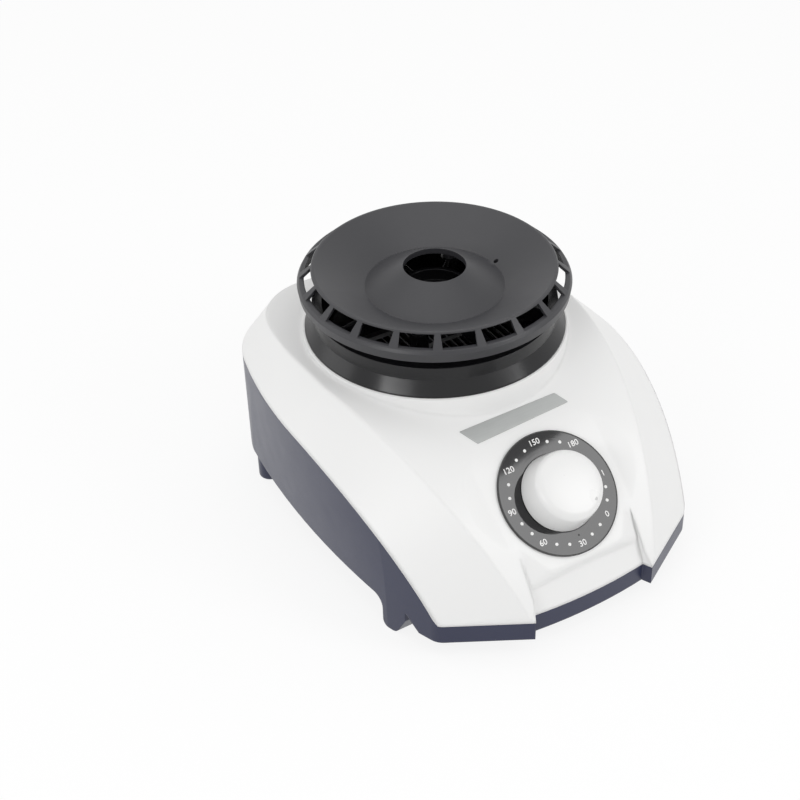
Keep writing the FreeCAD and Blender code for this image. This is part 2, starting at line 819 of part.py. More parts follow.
def make_base_shell():
    solid = plan_prism().common(draft_hull(0.0)).common(below_parting(0.0))
    solid = solid.cut(floor_prism(0.0, -d.wall).cut(front_feet()))
    room = plan_prism(d.wall).common(draft_hull(d.wall)).common(floor_prism(d.wall, d.rim_z))
    shell = solid.cut(room).fuse(back_pegs())
    joint = d.post_joint_z - d.floor_under
    for x, y in posts():
        shell = shell.fuse(Part.makeCylinder(d.post_radius, joint, point(x, y, d.floor_under)))
    pillar = d.motor_low_z - d.bracket_thick - d.floor_under
    for x, y in bracket_spots():
        shell = shell.fuse(Part.makeCylinder(d.post_radius, pillar, point(x, y, d.floor_under)))
    seat = DUCT_BORE + d.duct_wall + d.duct_gap
    rib = ring_solid(seat + d.duct_wall, seat, FLOOR_TOP, FLOOR_TOP + d.wall)
    rib.translate(point(0, d.outlet_y))
    shell = shell.fuse(rib.common(room))
    cuts = []
    for x, y in posts():
        cuts.append(Part.makeCylinder(d.screw_head + d.duct_gap, joint / 2, point(x, y, d.floor_under)))
        cuts.append(Part.makeCylinder(d.screw_radius + d.duct_gap, joint, point(x, y, d.floor_under)))
    for x, y in bracket_spots():
        cuts.append(Part.makeCylinder(d.screw_radius, pillar - 1, point(x, y, d.floor_under + 1)))
    length = d.slot_outer - d.slot_inner
    for i in range(int(d.slot_count)):
        slot = Part.makeBox(length, d.slot_width, 2 * d.wall, point(d.slot_inner, -d.slot_width / 2, 0))
        slot.rotate(point(0, 0), UP, 360.0 * i / d.slot_count)
        slot.translate(point(0, d.outlet_y, d.floor_under - d.wall / 2))
        cuts.append(slot)
    inlet = point(d.gland_x, d.back_y - 2 * d.wall, d.gland_z)
    cuts.append(Part.makeCylinder(d.gland_radius - d.wall, 3 * d.wall, inlet, Vector(0, 1, 0)))
    feature("base_shell", shell.cut(cuts).removeSplitter())


# Outlet: collar and cap


def make_outlet_collar():
    """Collar: spigot, cone flange, neck, and the spokes that carry the hub and the cap."""
    body = new_body("outlet_collar", "outlet")
    top = "dims.boss_top + dims.flange_height"
    turn(body, [
        (BORE, "dims.boss_top - dims.spigot_depth"),
        ("dims.spigot_radius", "dims.boss_top - dims.spigot_depth"),
        ("dims.spigot_radius", "dims.boss_top"),
        (FLANGE, "dims.boss_top"),
        (FLANGE, "dims.boss_top + dims.flange_edge"),
        (NECK, top),
        (NECK, top + " + dims.neck_height"),
        (BORE, top + " + dims.neck_height"),
    ], "ring")
    spoke = slab(body, "spoke", [
        ("dims.hub_radius - 1", "dims.spoke_base_z"),
        (BORE + " + 1", "dims.spoke_base_z"),
        (BORE + " + 1", top + " + dims.neck_height"),
        ("dims.cap_screw_radius + dims.post_radius", "dims.cap_seat_z"),
        ("dims.hub_radius - 1", "dims.cap_seat_z"),
    ], "dims.spoke_thick")
    polar(body, spoke, "dims.spoke_count", "spokes")
    hook = slab(body, "hook", [
        (HOOK + " - dims.hook_thick / 2", "dims.boss_top + 0.2"),
        (HOOK + " - dims.hook_thick / 2", "dims.boss_top - 1.9 * dims.wall"),
        (HOOK + " + dims.hook_thick / 2", "dims.boss_top - 1.9 * dims.wall"),
        (HOOK + " + dims.hook_thick / 2 + dims.hook_barb", "dims.boss_top - 1.3 * dims.wall"),
        (HOOK + " + dims.hook_thick / 2", "dims.boss_top - 1.1 * dims.wall"),
        (HOOK + " + dims.hook_thick / 2", "dims.boss_top + 0.2"),
    ], "dims.hook_width")
    polar(body, hook, "4", "hooks")
    turn(body, [
        ("0", "dims.spoke_base_z"),
        ("dims.hub_radius", "dims.spoke_base_z"),
        ("dims.hub_radius", "dims.hub_rim_z"),
        ("dims.hub_radius - dims.cap_wall", "dims.hub_rim_z"),
        ("dims.hub_radius - dims.cap_wall", "dims.hub_floor_z"),
        ("0", "dims.hub_floor_z"),
    ], "hub")
    place = "dims.cap_screw_radius * sqrt(0.5)"
    pads = new_sketch(body, "screw_pad_outline", "XY_Plane", "dims.spoke_base_z")
    add_circle(pads, place, place, "dims.post_radius")
    pad_feature = pad(body, pads, "dims.cap_seat_z - dims.spoke_base_z", "screw_pad")
    polar(body, pad_feature, "4", "screw_pads")
    holes = new_sketch(body, "screw_hole_outline", "XY_Plane", "dims.spoke_base_z")
    add_circle(holes, place, place, "dims.screw_radius + dims.duct_gap")
    hole = pocket(body, holes, "dims.cap_seat_z - dims.spoke_base_z", "screw_hole", True)
    polar(body, hole, "4", "screw_holes")


def slab(body, name, corners, thickness):
    """An upright plate through the body's vertical axis plane, as thick on one side as on the other."""
    sketch = new_sketch(body, name + "_outline", "XZ_Plane")
    add_polygon(sketch, corners)
    plate = body.newObject("PartDesign::Pad", name)
    plate.Profile = sketch
    plate.SideType = "Symmetric"
    plate.setExpression("Length", thickness)
    doc.recompute()
    return plate


def make_outlet_cap():
    """Saucer cap: dished top, cone up to the centre hole, and a flared skirt with windows."""
    body = new_body("outlet_cap", "outlet")
    turn(body, [
        ("dims.hole_radius", "dims.hole_z"),
        ("dims.hole_radius", "dims.hole_z - 1.5 * dims.cap_wall"),
        ("dims.valley_radius", "dims.valley_z - dims.cap_wall"),
        ("dims.rim_radius - 0.25 * dims.cap_wall", "dims.rim_z - 0.75 * dims.cap_wall"),
        ("dims.ring_radius - dims.cap_wall", "dims.ring_top_z - 1"),
        ("dims.ring_radius - dims.cap_wall", "dims.ring_low_z"),
        ("dims.ring_radius - 0.6", "dims.ring_low_z"),
        ("dims.ring_radius", "dims.ring_top_z - 1.5"),
        ("dims.ring_radius - 0.8", "dims.ring_top_z"),
        ("dims.rim_radius", "dims.rim_z"),
        ("dims.rim_radius - 1", "dims.rim_z"),
        ("dims.valley_radius", "dims.valley_z"),
    ], "saucer")
    window = new_sketch(body, "window_outline", "XZ_Plane")
    face = "(dims.rim_radius - 0.45 * dims.cap_wall)"
    window.AttachmentOffset = Placement(Vector(), Rotation(Vector(0, 1, 0), d.window_turn))
    window.setExpression("AttachmentOffset.Base.x", face + " * sin(dims.window_turn)")
    window.setExpression("AttachmentOffset.Base.z", face + " * cos(dims.window_turn)")
    window.setExpression("AttachmentOffset.Rotation.Angle", "dims.window_turn")
    half = "(pi * (dims.rim_radius + dims.ring_radius) / 2 / dims.window_count - dims.window_bar / 2)"
    low = "dims.ring_top_z + 0.4"
    high = "dims.rim_z - 0.9 * dims.cap_wall"
    add_polygon(window, [("-" + half, low), (half, low), (half, high), ("-" + half, high)])
    cut = pocket(body, window, "dims.ring_radius - dims.rim_radius + 5", "window", True)
    polar(body, cut, "dims.window_count", "windows")
    place = "dims.cap_screw_radius * sqrt(0.5)"
    bosses = new_sketch(body, "boss_outline", "XY_Plane", "dims.cap_seat_z")
    add_circle(bosses, place, place, "dims.post_radius - 1")
    boss_feature = pad(body, bosses, "dims.valley_z - dims.cap_seat_z - 1", "screw_boss")
    polar(body, boss_feature, "4", "screw_bosses")
    bores = new_sketch(body, "bore_outline", "XY_Plane", "dims.cap_seat_z")
    add_circle(bores, place, place, "dims.screw_radius")
    bore = pocket(body, bores, "dims.valley_z - dims.cap_seat_z - 1", "screw_bore", True)
    polar(body, bore, "4", "screw_bores")
    pin = new_sketch(body, "pin_hole_outline", "XY_Plane", "dims.cap_seat_z")
    add_circle(pin, "dims.pin_hole_reach", "0", "dims.pin_hole_radius")
    pocket(body, pin, "dims.rim_z - dims.cap_seat_z", "pin_hole", True)


# Air path: duct, heater, fan and motor


def make_air_duct():
    body = new_body("air_duct", "outlet")
    bore = DUCT
    low = "dims.floor_under + dims.wall"
    turn(body, [
        (bore, low),
        (bore + " + dims.duct_wall", low),
        (bore + " + dims.duct_wall", "dims.boss_top - dims.wall"),
        (bore, "dims.boss_top - dims.wall"),
        (bore, "dims.ledge_z + dims.wall"),
        (bore + " - dims.ledge_width", "dims.ledge_z + dims.wall"),
        (bore + " - dims.ledge_width", "dims.ledge_z + 1"),
        (bore, "dims.ledge_z - dims.ledge_width / 2"),
    ])


def make_heater_frame():
    """Ring on the duct's ledge with two upright plates that hold the heating bars between them."""
    body = new_body("heater_frame", "outlet")
    low = "dims.ledge_z + dims.wall"
    outer = "dims.spigot_radius"
    turn(body, [
        (outer + " - dims.duct_wall", low),
        (outer, low),
        (outer, low + " + dims.heater_height"),
        (outer + " - dims.duct_wall", low + " + dims.heater_height"),
    ], "ring")
    cross = new_sketch(body, "cross_outline", "XY_Plane", low)
    edge = "sqrt(pow(dims.spigot_radius - 1; 2) - pow(dims.heater_half + dims.duct_wall; 2))"
    for side in ("", "-"):
        near = side + "dims.heater_half"
        far = side + "(dims.heater_half + dims.duct_wall)"
        add_polygon(cross, [(near, "-" + edge), (far, "-" + edge), (far, edge), (near, edge)])
    pad(body, cross, "dims.heater_height", "cross_plates")
    shelf = new_sketch(body, "shelf_outline", "XY_Plane", low)
    half = "(dims.guard_radius + dims.air_gap)"
    for side in ("", "-"):
        near = side + "(dims.heater_half + 1)"
        far = side + "(dims.spigot_radius - 1)"
        add_polygon(shelf, [(near, "-" + half), (far, "-" + half), (far, half), (near, half)])
    pad(body, shelf, "dims.duct_wall", "shelves")


def make_heater_core():
    """Heating bars across the frame, and thin plates between them that pass heat to the air."""
    low = HEATER_LOW_Z + 2
    tall = d.heater_height - 4
    bars = []
    for row in (-1, 0, 1):
        corner = point(-d.heater_half, row * d.heater_row - d.ptc_thick / 2, low)
        bars.append(Part.makeBox(2 * d.heater_half, d.ptc_thick, tall, corner))
    feature("ptc_bars", Part.makeCompound(bars), outlet_frame())
    plates = []
    count = int(2 * d.heater_half / d.fin_pitch) - 1
    deep = d.heater_row - d.ptc_thick
    for row in (-1, 0):
        for i in range(count):
            x = (i - (count - 1) / 2) * d.fin_pitch - d.fin_thick / 2
            corner = point(x, row * d.heater_row + d.ptc_thick / 2, low)
            plates.append(Part.makeBox(d.fin_thick, deep, tall, corner))
    feature("heater_fins", Part.makeCompound(plates), outlet_frame())


def make_heat_guards():
    """Thermostat disc and thermal fuse on the two shelves of the heater frame."""
    shelf = HEATER_LOW_Z + d.duct_wall
    middle = (d.heater_half + d.duct_wall + d.spigot_radius - d.duct_wall) / 2
    can = Part.makeCylinder(d.guard_radius, d.guard_flange, point(middle, 0, shelf))
    step = shelf + d.guard_flange
    can = can.fuse(Part.makeCylinder(d.guard_cap_radius, d.guard_cap, point(middle, 0, step)))
    half = d.tab_thick / 2
    for side in (-1, 1):
        corner = point(middle - half, side * d.guard_tab_x - half, step + d.guard_cap - half)
        can = can.fuse(Part.makeBox(d.tab_thick, d.tab_thick, d.guard_tab, corner))
    feature("thermostat", can.removeSplitter(), outlet_frame())
    fuse = Part.makeCylinder(d.fuse_radius, d.fuse_length, point(-middle, 0, shelf))
    lead = Part.makeCylinder(d.fuse_lead_radius, d.fuse_lead, point(-middle, 0, shelf + d.fuse_length))
    feature("thermal_fuse", fuse.fuse(lead).removeSplitter(), outlet_frame())


def make_fan_impeller():
    """Hub cup with blades lofted from a steep root section to a flatter tip section."""
    body = new_body("fan_impeller", "outlet")
    top = "dims.fan_low_z + dims.fan_height"
    turn(body, [
        ("dims.axle_radius", "dims.fan_low_z"),
        ("dims.bearing_radius", "dims.fan_low_z"),
        ("dims.bearing_radius", top + " - dims.cap_wall"),
        ("dims.fan_hub_radius - dims.cap_wall", top + " - dims.cap_wall"),
        ("dims.fan_hub_radius - dims.cap_wall", "dims.fan_low_z"),
        ("dims.fan_hub_radius", "dims.fan_low_z"),
        ("dims.fan_hub_radius", top),
        ("dims.axle_radius", top),
    ], "hub")
    sections = []
    for name, reach, chord, pitch in (
            ("root", "dims.fan_hub_radius - 4", "0.62 * dims.blade_chord", "38"),
            ("tip", FAN_TIP, "1.3 * dims.blade_chord", "22")):
        sketch = new_sketch(body, name + "_section", "XZ_Plane", reach)
        middle = "dims.fan_low_z + dims.fan_height / 2"
        along = "%s / 2 * cos(%s)" % (chord, pitch)
        rise = "%s / 2 * sin(%s)" % (chord, pitch)
        half = "dims.blade_thick / 2"
        add_polygon(sketch, [
            ("-" + along, "%s - %s - %s" % (middle, rise, half)),
            (along, "%s + %s - %s" % (middle, rise, half)),
            (along, "%s + %s + %s" % (middle, rise, half)),
            ("-" + along, "%s - %s + %s" % (middle, rise, half)),
        ])
        sections.append(sketch)
    blade = body.newObject("PartDesign::AdditiveLoft", "blade")
    blade.Profile = sections[0]
    blade.Sections = [sections[1]]
    doc.recompute()
    polar(body, blade, "dims.blade_count", "blades")


def make_motor_axle():
    """Shaft of the motor, and the magnet on it."""
    shaft = new_body("motor_shaft", "outlet")
    top = "dims.fan_low_z + dims.fan_height"
    turn(shaft, [
        ("0", "dims.motor_low_z + 2"),
        ("dims.axle_radius", "dims.motor_low_z + 2"),
        ("dims.axle_radius", top),
        ("0", top),
    ])
    rotor = new_body("motor_rotor", "outlet")
    turn(rotor, [
        ("dims.axle_radius", CORE_LOW),
        ("dims.rotor_radius", CORE_LOW),
        ("dims.rotor_radius", CORE_HIGH),
        ("dims.axle_radius", CORE_HIGH),
    ])


def make_motor_can():
    """Cup round the stator, with a seat for the lower bearing and a step that carries the core."""
    body = new_body("motor_can", "outlet")
    low = "dims.motor_low_z"
    floor = "dims.motor_low_z + dims.motor_skin"
    seat = floor + " + dims.bearing_height"
    turn(body, [
        ("dims.axle_radius + dims.air_gap", low),
        ("dims.motor_radius", low),
        ("dims.motor_radius", low + " + dims.motor_height - dims.motor_skin"),
        ("dims.motor_radius - dims.motor_skin", low + " + dims.motor_height - dims.motor_skin"),
        ("dims.motor_radius - dims.motor_skin", CORE_LOW),
        ("dims.motor_radius - 2 * dims.motor_skin", CORE_LOW),
        ("dims.motor_radius - 2 * dims.motor_skin", floor),
        ("dims.bearing_radius + dims.duct_wall", floor),
        ("dims.bearing_radius + dims.duct_wall", seat),
        ("dims.bearing_radius", seat),
        ("dims.bearing_radius", floor),
        ("dims.axle_radius + dims.air_gap", floor),
    ])
    holes = new_sketch(body, "screw_hole_outline", "XY_Plane", low)
    add_circle(holes, "dims.motor_radius - 4 * dims.motor_skin", "0", "dims.screw_radius")
    hole = pocket(body, holes, "dims.motor_skin", "screw_hole", True)
    polar(body, hole, "2", "screw_holes")


def make_motor_end_plate():
    body = new_body("motor_end_plate", "outlet")
    top = "dims.motor_low_z + dims.motor_height"
    under = top + " - dims.motor_skin"
    turn(body, [
        ("dims.axle_radius + dims.air_gap", under),
        ("dims.bearing_radius", under),
        ("dims.bearing_radius", under + " - dims.bearing_height"),
        ("dims.bearing_radius + dims.duct_wall", under + " - dims.bearing_height"),
        ("dims.bearing_radius + dims.duct_wall", under),
        ("dims.motor_radius", under),
        ("dims.motor_radius", top),
        ("dims.axle_radius + dims.air_gap", top),
    ])


def ring_solid(outer, inner, low, high):
    """A plain ring about the local vertical axis."""
    solid = Part.makeCylinder(outer, high - low, point(0, 0, low))
    return solid.cut(Part.makeCylinder(inner, high - low, point(0, 0, low)))


def make_motor_bearings():
    low = d.motor_low_z + d.motor_skin
    high = d.motor_low_z + d.motor_height - d.motor_skin
    bore = d.axle_radius + d.running_gap
    rings = [
        ring_solid(d.bearing_radius, bore, low, low + d.bearing_height),
        ring_solid(d.bearing_radius, bore, high - d.bearing_height, high),
    ]
    feature("motor_bearings", Part.makeCompound(rings), outlet_frame())


def make_stator():
    """Iron ring with six inward teeth, and a coil round every tooth."""
    low = d.motor_low_z + d.motor_end_room
    tall = d.motor_height - 2 * d.motor_end_room
    outer = d.motor_radius - d.motor_skin
    face = d.rotor_radius + d.air_gap
    half = d.tooth_half
    core = ring_solid(outer, outer - d.yoke_thick, low, low + tall)
    coils = []
    bore = Part.makeCylinder(face, tall, point(0, 0, low))
    for i in range(int(d.tooth_count)):
        tooth = Part.makeBox(outer - face, 2 * half, tall, point(face - 1, -half, low))
        corner = point(face + 1, -2 * half, low - d.coil_over)
        coil = Part.makeBox(d.coil_depth, 4 * half, tall + 2 * d.coil_over, corner).cut(tooth)
        for item in (tooth, coil):
            item.rotate(point(0, 0), UP, 360.0 * i / d.tooth_count)
        core = core.fuse(tooth)
        coils.append(coil)
    feature("stator_core", core.cut(bore).removeSplitter(), outlet_frame())
    feature("stator_coils", Part.makeCompound(coils), outlet_frame())


def make_motor_bracket():
    """Disc under the motor with four arms that are screwed to pillars of the base."""
    body = new_body("motor_bracket", "outlet")
    low = "dims.motor_low_z - dims.bracket_thick"
    disc = new_sketch(body, "disc_outline", "XY_Plane", low)
    add_circle(disc, "0", "0", "dims.motor_radius")
    pad(body, disc, "dims.bracket_thick", "disc")
    arms = new_sketch(body, "arm_outline", "XY_Plane", low)
    inner = "(dims.motor_radius - 3) * sqrt(0.5)"
    outer = "(" + BRACKET + " + dims.post_radius) * sqrt(0.5)"
    side = "dims.bracket_arm / 2 * sqrt(0.5)"
    add_polygon(arms, [
        (inner + " + " + side, inner + " - " + side),
        (outer + " + " + side, outer + " - " + side),
        (outer + " - " + side, outer + " + " + side),
        (inner + " - " + side, inner + " + " + side),
    ])
    arm = pad(body, arms, "dims.bracket_thick", "arm")
    polar(body, arm, "4", "arms")
    ends = new_sketch(body, "end_hole_outline", "XY_Plane", low)
    place = BRACKET + " * sqrt(0.5)"
    add_circle(ends, place, place, "dims.screw_radius + dims.thread_gap")
    end = pocket(body, ends, "dims.bracket_thick", "end_hole", True)
    polar(body, end, "4", "end_holes")
    inners = new_sketch(body, "motor_hole_outline", "XY_Plane", low)
    add_circle(inners, "dims.motor_radius - 4 * dims.motor_skin", "0", "dims.screw_radius + dims.thread_gap")
    hole = pocket(body, inners, "dims.bracket_thick", "motor_hole", True)
    polar(body, hole, "2", "motor_holes")


# Timer on the sloping panel


def make_dial_plate():
    body = new_body("dial_plate", "panel")
    turn(body, [
        ("dims.stem_hole", "0"),
        ("dims.dial_radius", "0"),
        ("dims.dial_radius", "dims.dial_thick"),
        ("dims.stem_hole", "dims.dial_thick"),
    ])


def make_timer_knob():
    """Round knob, slightly tapered, with a rounded top edge and a blind bore for the shaft."""
    body = new_body("timer_knob", "panel")
    low = "dims.dial_thick + dims.knob_lift"
    top = low + " + dims.knob_height"
    knob = turn(body, [
        ("0", top + " - dims.wall"),
        ("dims.stem_radius", top + " - dims.wall"),
        ("dims.stem_radius", low),
        ("dims.knob_radius", low),
        ("dims.knob_radius - dims.knob_taper", top),
        ("0", top),
    ], "grip")
    shape = knob.Shape
    edges = []
    for i, edge in enumerate(shape.Edges, 1):
        if abs(edge.BoundBox.ZMax - shape.BoundBox.ZMax) < 1e-4 and edge.BoundBox.ZLength < 1e-4:
            edges.append("Edge%d" % i)
    rounded = body.newObject("PartDesign::Fillet", "rounding")
    rounded.Base = (knob, edges)
    rounded.setExpression("Radius", "dims.knob_dome")
    body.Tip = rounded
    doc.recompute()


def make_timer_shaft():
    body = new_body("timer_shaft", "panel")
    top = "dims.dial_thick + dims.knob_lift + dims.knob_height - dims.wall"
    low = "-dims.wall - dims.timer_plate_thick - dims.shaft_reach"
    turn(body, [
        ("0", low), ("dims.stem_radius", low), ("dims.stem_radius", top), ("0", top)])


def rectangle(half_x, half_y):
    """Corners of a rectangle about the sketch's origin."""
    return [("-" + half_x, "-" + half_y), (half_x, "-" + half_y), (half_x, half_y), ("-" + half_x, half_y)]


def make_timer_plate():
    """Steel plate between the panel and the timer's case."""
    body = new_body("timer_plate", "panel")
    low = "-dims.wall - dims.timer_plate_thick"
    outline = new_sketch(body, "plate_outline", "XY_Plane", low)
    add_polygon(outline, rectangle("(dims.timer_width / 2 + 4)", "dims.timer_width / 2"))
    pad(body, outline, "dims.timer_plate_thick", "plate")
    holes = new_sketch(body, "hole_outline", "XY_Plane", low)
    add_circle(holes, "0", "0", "dims.stem_hole")
    add_circle(holes, "dims.timer_screw_x", "0", "dims.screw_radius + dims.thread_gap")
    add_circle(holes, "-dims.timer_screw_x", "0", "dims.screw_radius + dims.thread_gap")
    pocket(body, holes, "dims.timer_plate_thick", "holes", True)


def make_timer_case():
    """Case of the clockwork, with the shaft's bearing bore and two screw bores in its front."""
    body = new_body("timer_case", "panel")
    top = "-dims.wall - dims.timer_plate_thick"
    low = top + " - dims.timer_depth"
    outline = new_sketch(body, "case_outline", "XY_Plane", low)
    add_polygon(outline, rectangle("dims.timer_width / 2", "dims.timer_width / 2"))
    pad(body, outline, "dims.timer_depth", "case")
    depth = "dims.shaft_reach + dims.shaft_end_gap"
    bore = new_sketch(body, "bore_outline", "XY_Plane", "%s - (%s)" % (top, depth))
    add_circle(bore, "0", "0", "dims.stem_radius + dims.running_gap")
    pocket(body, bore, depth, "shaft_bore", True)
    holes = new_sketch(body, "screw_outline", "XY_Plane", top + " - dims.timer_screw_bore")
    add_circle(holes, "dims.timer_screw_x", "0", "dims.screw_radius")
    add_circle(holes, "-dims.timer_screw_x", "0", "dims.screw_radius")
    pocket(body, holes, "dims.timer_screw_bore", "screw_bores", True)


def make_timer_terminals():
    """Four flat tabs at the back of the timer's case."""
    back = -d.wall - d.timer_plate_thick - d.timer_depth
    tabs = []
    for x in (-d.tab_x, d.tab_x):
        for y in (d.tab_low_y, d.tab_high_y):
            corner = point(x - d.tab_width / 2, y - d.tab_thick / 2, back - d.tab_length)
            tabs.append(Part.makeBox(d.tab_width, d.tab_thick, d.tab_length, corner))
    feature("timer_terminals", Part.makeCompound(tabs), panel_frame())


# Fasteners and electrical pieces


def screw(length, head_height):
    """A screw along local Z: its head's underside at the origin, its shank upwards."""
    shank = Part.makeCylinder(d.screw_radius - d.thread_gap, length)
    head = Part.makeCylinder(d.screw_head, head_height, point(0, 0, -head_height))
    corner = point(-d.screw_head, -d.screw_slot / 2, -head_height)
    slot = Part.makeBox(2 * d.screw_head, d.screw_slot, d.screw_slot, corner)
    return shank.fuse(head).cut(slot).removeSplitter()


def screws(label, length, places, down=False, head_height=None, frame=None):
    """Equal screws as one group, each at its own place."""
    solids = []
    for place in places:
        one = screw(length, head_height or d.screw_head_height)
        if down:
            one.rotate(point(0, 0), Vector(1, 0, 0), 180)
        one.translate(place)
        solids.append(one)
    feature(label, Part.makeCompound(solids), frame)


def make_screws():
    joint = d.post_joint_z - d.floor_under
    seat = d.floor_under + joint / 2
    screws("cover_screws", joint / 2 + d.cover_screw_grip, [point(x, y, seat) for x, y in posts()])
    tops = [point(x, y, d.motor_low_z) for x, y in bracket_spots()]
    screws("bracket_screws", d.bracket_thick + d.bracket_screw_grip, tops, True)
    under = d.motor_low_z - d.bracket_thick
    reach = d.motor_radius - 4 * d.motor_skin
    sides = [point(side * reach, d.outlet_y, under) for side in (-1, 1)]
    screws("motor_screws", d.bracket_thick + d.motor_skin, sides)
    spots = []
    for i in range(4):
        turned = math.radians(45 + 90 * i)
        across = d.cap_screw_radius * math.cos(turned)
        spots.append(point(across, d.outlet_y + d.cap_screw_radius * math.sin(turned), d.spoke_base_z))
    screws("cap_screws", d.cap_seat_z - d.spoke_base_z + d.cap_screw_grip, spots)
    head = d.screw_head_height / 2
    fronts = [point(side * d.timer_screw_x, 0, -head) for side in (-1, 1)]
    length = d.wall + d.timer_plate_thick + d.timer_screw_grip
    screws("timer_screws", length, fronts, True, head, panel_frame())


def make_terminal_block():
    """Block on the floor at the back with a row of screw terminals."""
    low = FLOOR_TOP
    middle = (d.back_y - d.wall + d.outlet_y + DUCT_BORE + 2 * d.duct_wall) / 2 + 1
    corner = point(-d.block_length / 2, middle - d.block_width / 2, low)
    block = Part.makeBox(d.block_length, d.block_width, d.block_height, corner)
    pitch = d.block_length / d.block_poles
    cuts = []
    for i in range(int(d.block_poles)):
        x = (i - (d.block_poles - 1) / 2) * pitch
        top = point(x, middle, low + d.block_height - d.pole_depth)
        cuts.append(Part.makeCylinder(d.pole_radius, d.pole_depth, top))
        front = point(x, middle - d.block_width / 2, low + d.wire_z)
        cuts.append(Part.makeCylinder(d.wire_radius, d.block_width, front, Vector(0, 1, 0)))
    feature("terminal_block", block.cut(cuts).removeSplitter())


def make_cord_gland():
    """Bushing in the back wall: its flange inside, its end flush with the outside."""
    inside = d.back_y - d.wall
    along = Vector(0, 1, 0)
    neck = d.gland_radius - d.wall - d.running_gap
    bushing = Part.makeCylinder(d.gland_radius, d.wall, point(d.gland_x, inside - d.wall, d.gland_z), along)
    bushing = bushing.fuse(Part.makeCylinder(neck, d.wall, point(d.gland_x, inside, d.gland_z), along))
    bore = Part.makeCylinder(d.gland_bore, 2 * d.wall, point(d.gland_x, inside - d.wall, d.gland_z), along)
    feature("cord_gland", bushing.cut(bore).removeSplitter())


def main():
    make_base_shell()
    make_top_cover()
    make_outlet_collar()
    make_outlet_cap()
    make_dial_plate()
    make_timer_knob()
    make_timer_shaft()
    make_timer_case()
    make_timer_plate()
    make_timer_terminals()
    make_fan_impeller()
    make_motor_axle()
    make_stator()
    make_motor_can()
    make_motor_end_plate()
    make_motor_bearings()
    make_motor_bracket()
    make_air_duct()
    make_heater_frame()
    make_heater_core()
    make_heat_guards()
    make_terminal_block()
    make_cord_gland()
    make_screws()


main()
doc.recompute()
for item in doc.Objects:
    if "Invalid" in item.State or "Error" in item.State:
        raise RuntimeError("%s failed: %s" % (item.Label, item.State))
os.makedirs("parts", exist_ok=True)
for piece in PIECES:
    if piece.Shape.isNull() or not piece.Shape.isValid():
        raise RuntimeError("%s has no valid shape" % piece.Label)
    print(piece.Label, len(piece.Shape.Solids), round(piece.Shape.Volume), piece.Shape.optimalBoundingBox())
    piece.Shape.exportStep("parts/%s.step" % piece.Label)
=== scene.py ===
"""Looks of a table-top warm-air dryer blower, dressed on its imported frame."""

import json
import math

import bmesh
import bpy
from bpy.props import (
    FloatProperty,
    FloatVectorProperty,
    IntProperty,
    PointerProperty,
    StringProperty,
)
from mathutils import Matrix, Vector
from mathutils.bvhtree import BVHTree


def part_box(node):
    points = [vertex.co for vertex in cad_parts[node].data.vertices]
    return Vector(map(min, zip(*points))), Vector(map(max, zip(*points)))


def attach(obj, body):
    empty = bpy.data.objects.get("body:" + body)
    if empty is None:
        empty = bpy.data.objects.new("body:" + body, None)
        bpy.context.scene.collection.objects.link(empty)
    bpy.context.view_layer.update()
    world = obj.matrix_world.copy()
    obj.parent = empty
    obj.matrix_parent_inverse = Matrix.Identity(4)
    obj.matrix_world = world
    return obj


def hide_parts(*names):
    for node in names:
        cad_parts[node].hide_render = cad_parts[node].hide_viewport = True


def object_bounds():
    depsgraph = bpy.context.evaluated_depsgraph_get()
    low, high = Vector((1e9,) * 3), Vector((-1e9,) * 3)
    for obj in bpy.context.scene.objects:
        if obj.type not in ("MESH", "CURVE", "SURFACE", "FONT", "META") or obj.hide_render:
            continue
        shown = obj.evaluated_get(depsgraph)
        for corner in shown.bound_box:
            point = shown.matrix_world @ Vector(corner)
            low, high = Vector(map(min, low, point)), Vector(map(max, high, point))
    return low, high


bl_info = {
    "name": "Dryer blower looks",
    "version": (1, 0, 0),
    "blender": (4, 5, 0),
    "location": "3D View > Sidebar > Dryer",
    "description": "Finishes, dial print, bare plate, light and camera for a dryer blower",
    "category": "Object",
}

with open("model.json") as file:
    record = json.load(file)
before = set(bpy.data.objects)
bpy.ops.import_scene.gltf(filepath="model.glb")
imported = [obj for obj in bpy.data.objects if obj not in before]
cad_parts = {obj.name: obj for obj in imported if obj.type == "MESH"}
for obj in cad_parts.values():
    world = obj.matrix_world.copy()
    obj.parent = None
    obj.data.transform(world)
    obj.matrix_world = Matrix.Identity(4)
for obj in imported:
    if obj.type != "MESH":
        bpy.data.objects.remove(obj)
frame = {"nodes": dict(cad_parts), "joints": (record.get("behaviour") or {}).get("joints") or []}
CAD_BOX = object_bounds()
NODES = frame["nodes"]
JOINTS = {joint["name"]: joint for joint in frame["joints"]}
MM = 0.001
WHITE = (1.0, 1.0, 1.0, 1.0)
RIGHT = Vector((1.0, 0.0, 0.0))
REAR = Vector((0.0, 1.0, 0.0))
UPRIGHT = Vector((0.0, 0.0, 1.0))
DIAL_CENTRE = Vector(JOINTS["timer_turn"]["pos_m"])
DIAL_UP = -Vector(JOINTS["timer_turn"]["axis"])
DIAL_SLOPE = DIAL_UP.cross(RIGHT)
OUTLET_AXIS = Vector(JOINTS["fan_spin"]["pos_m"])
# Facets of a full turn and of a small disc, and how near two points are one
ROUND_STEPS = 96
DISC_SIDES = 24
SAME_PLACE = 1e-7


def colour(name, text, default):
    """A colour that a user would change."""
    return FloatVectorProperty(
        name=name, description=text, default=default, subtype="COLOR", size=3, min=0.0, max=1.0)


def length(name, text, millimetres):
    """A length that a user would change, given here in millimetres."""
    return FloatProperty(
        name=name, description=text, default=millimetres * MM, unit="LENGTH", precision=5)


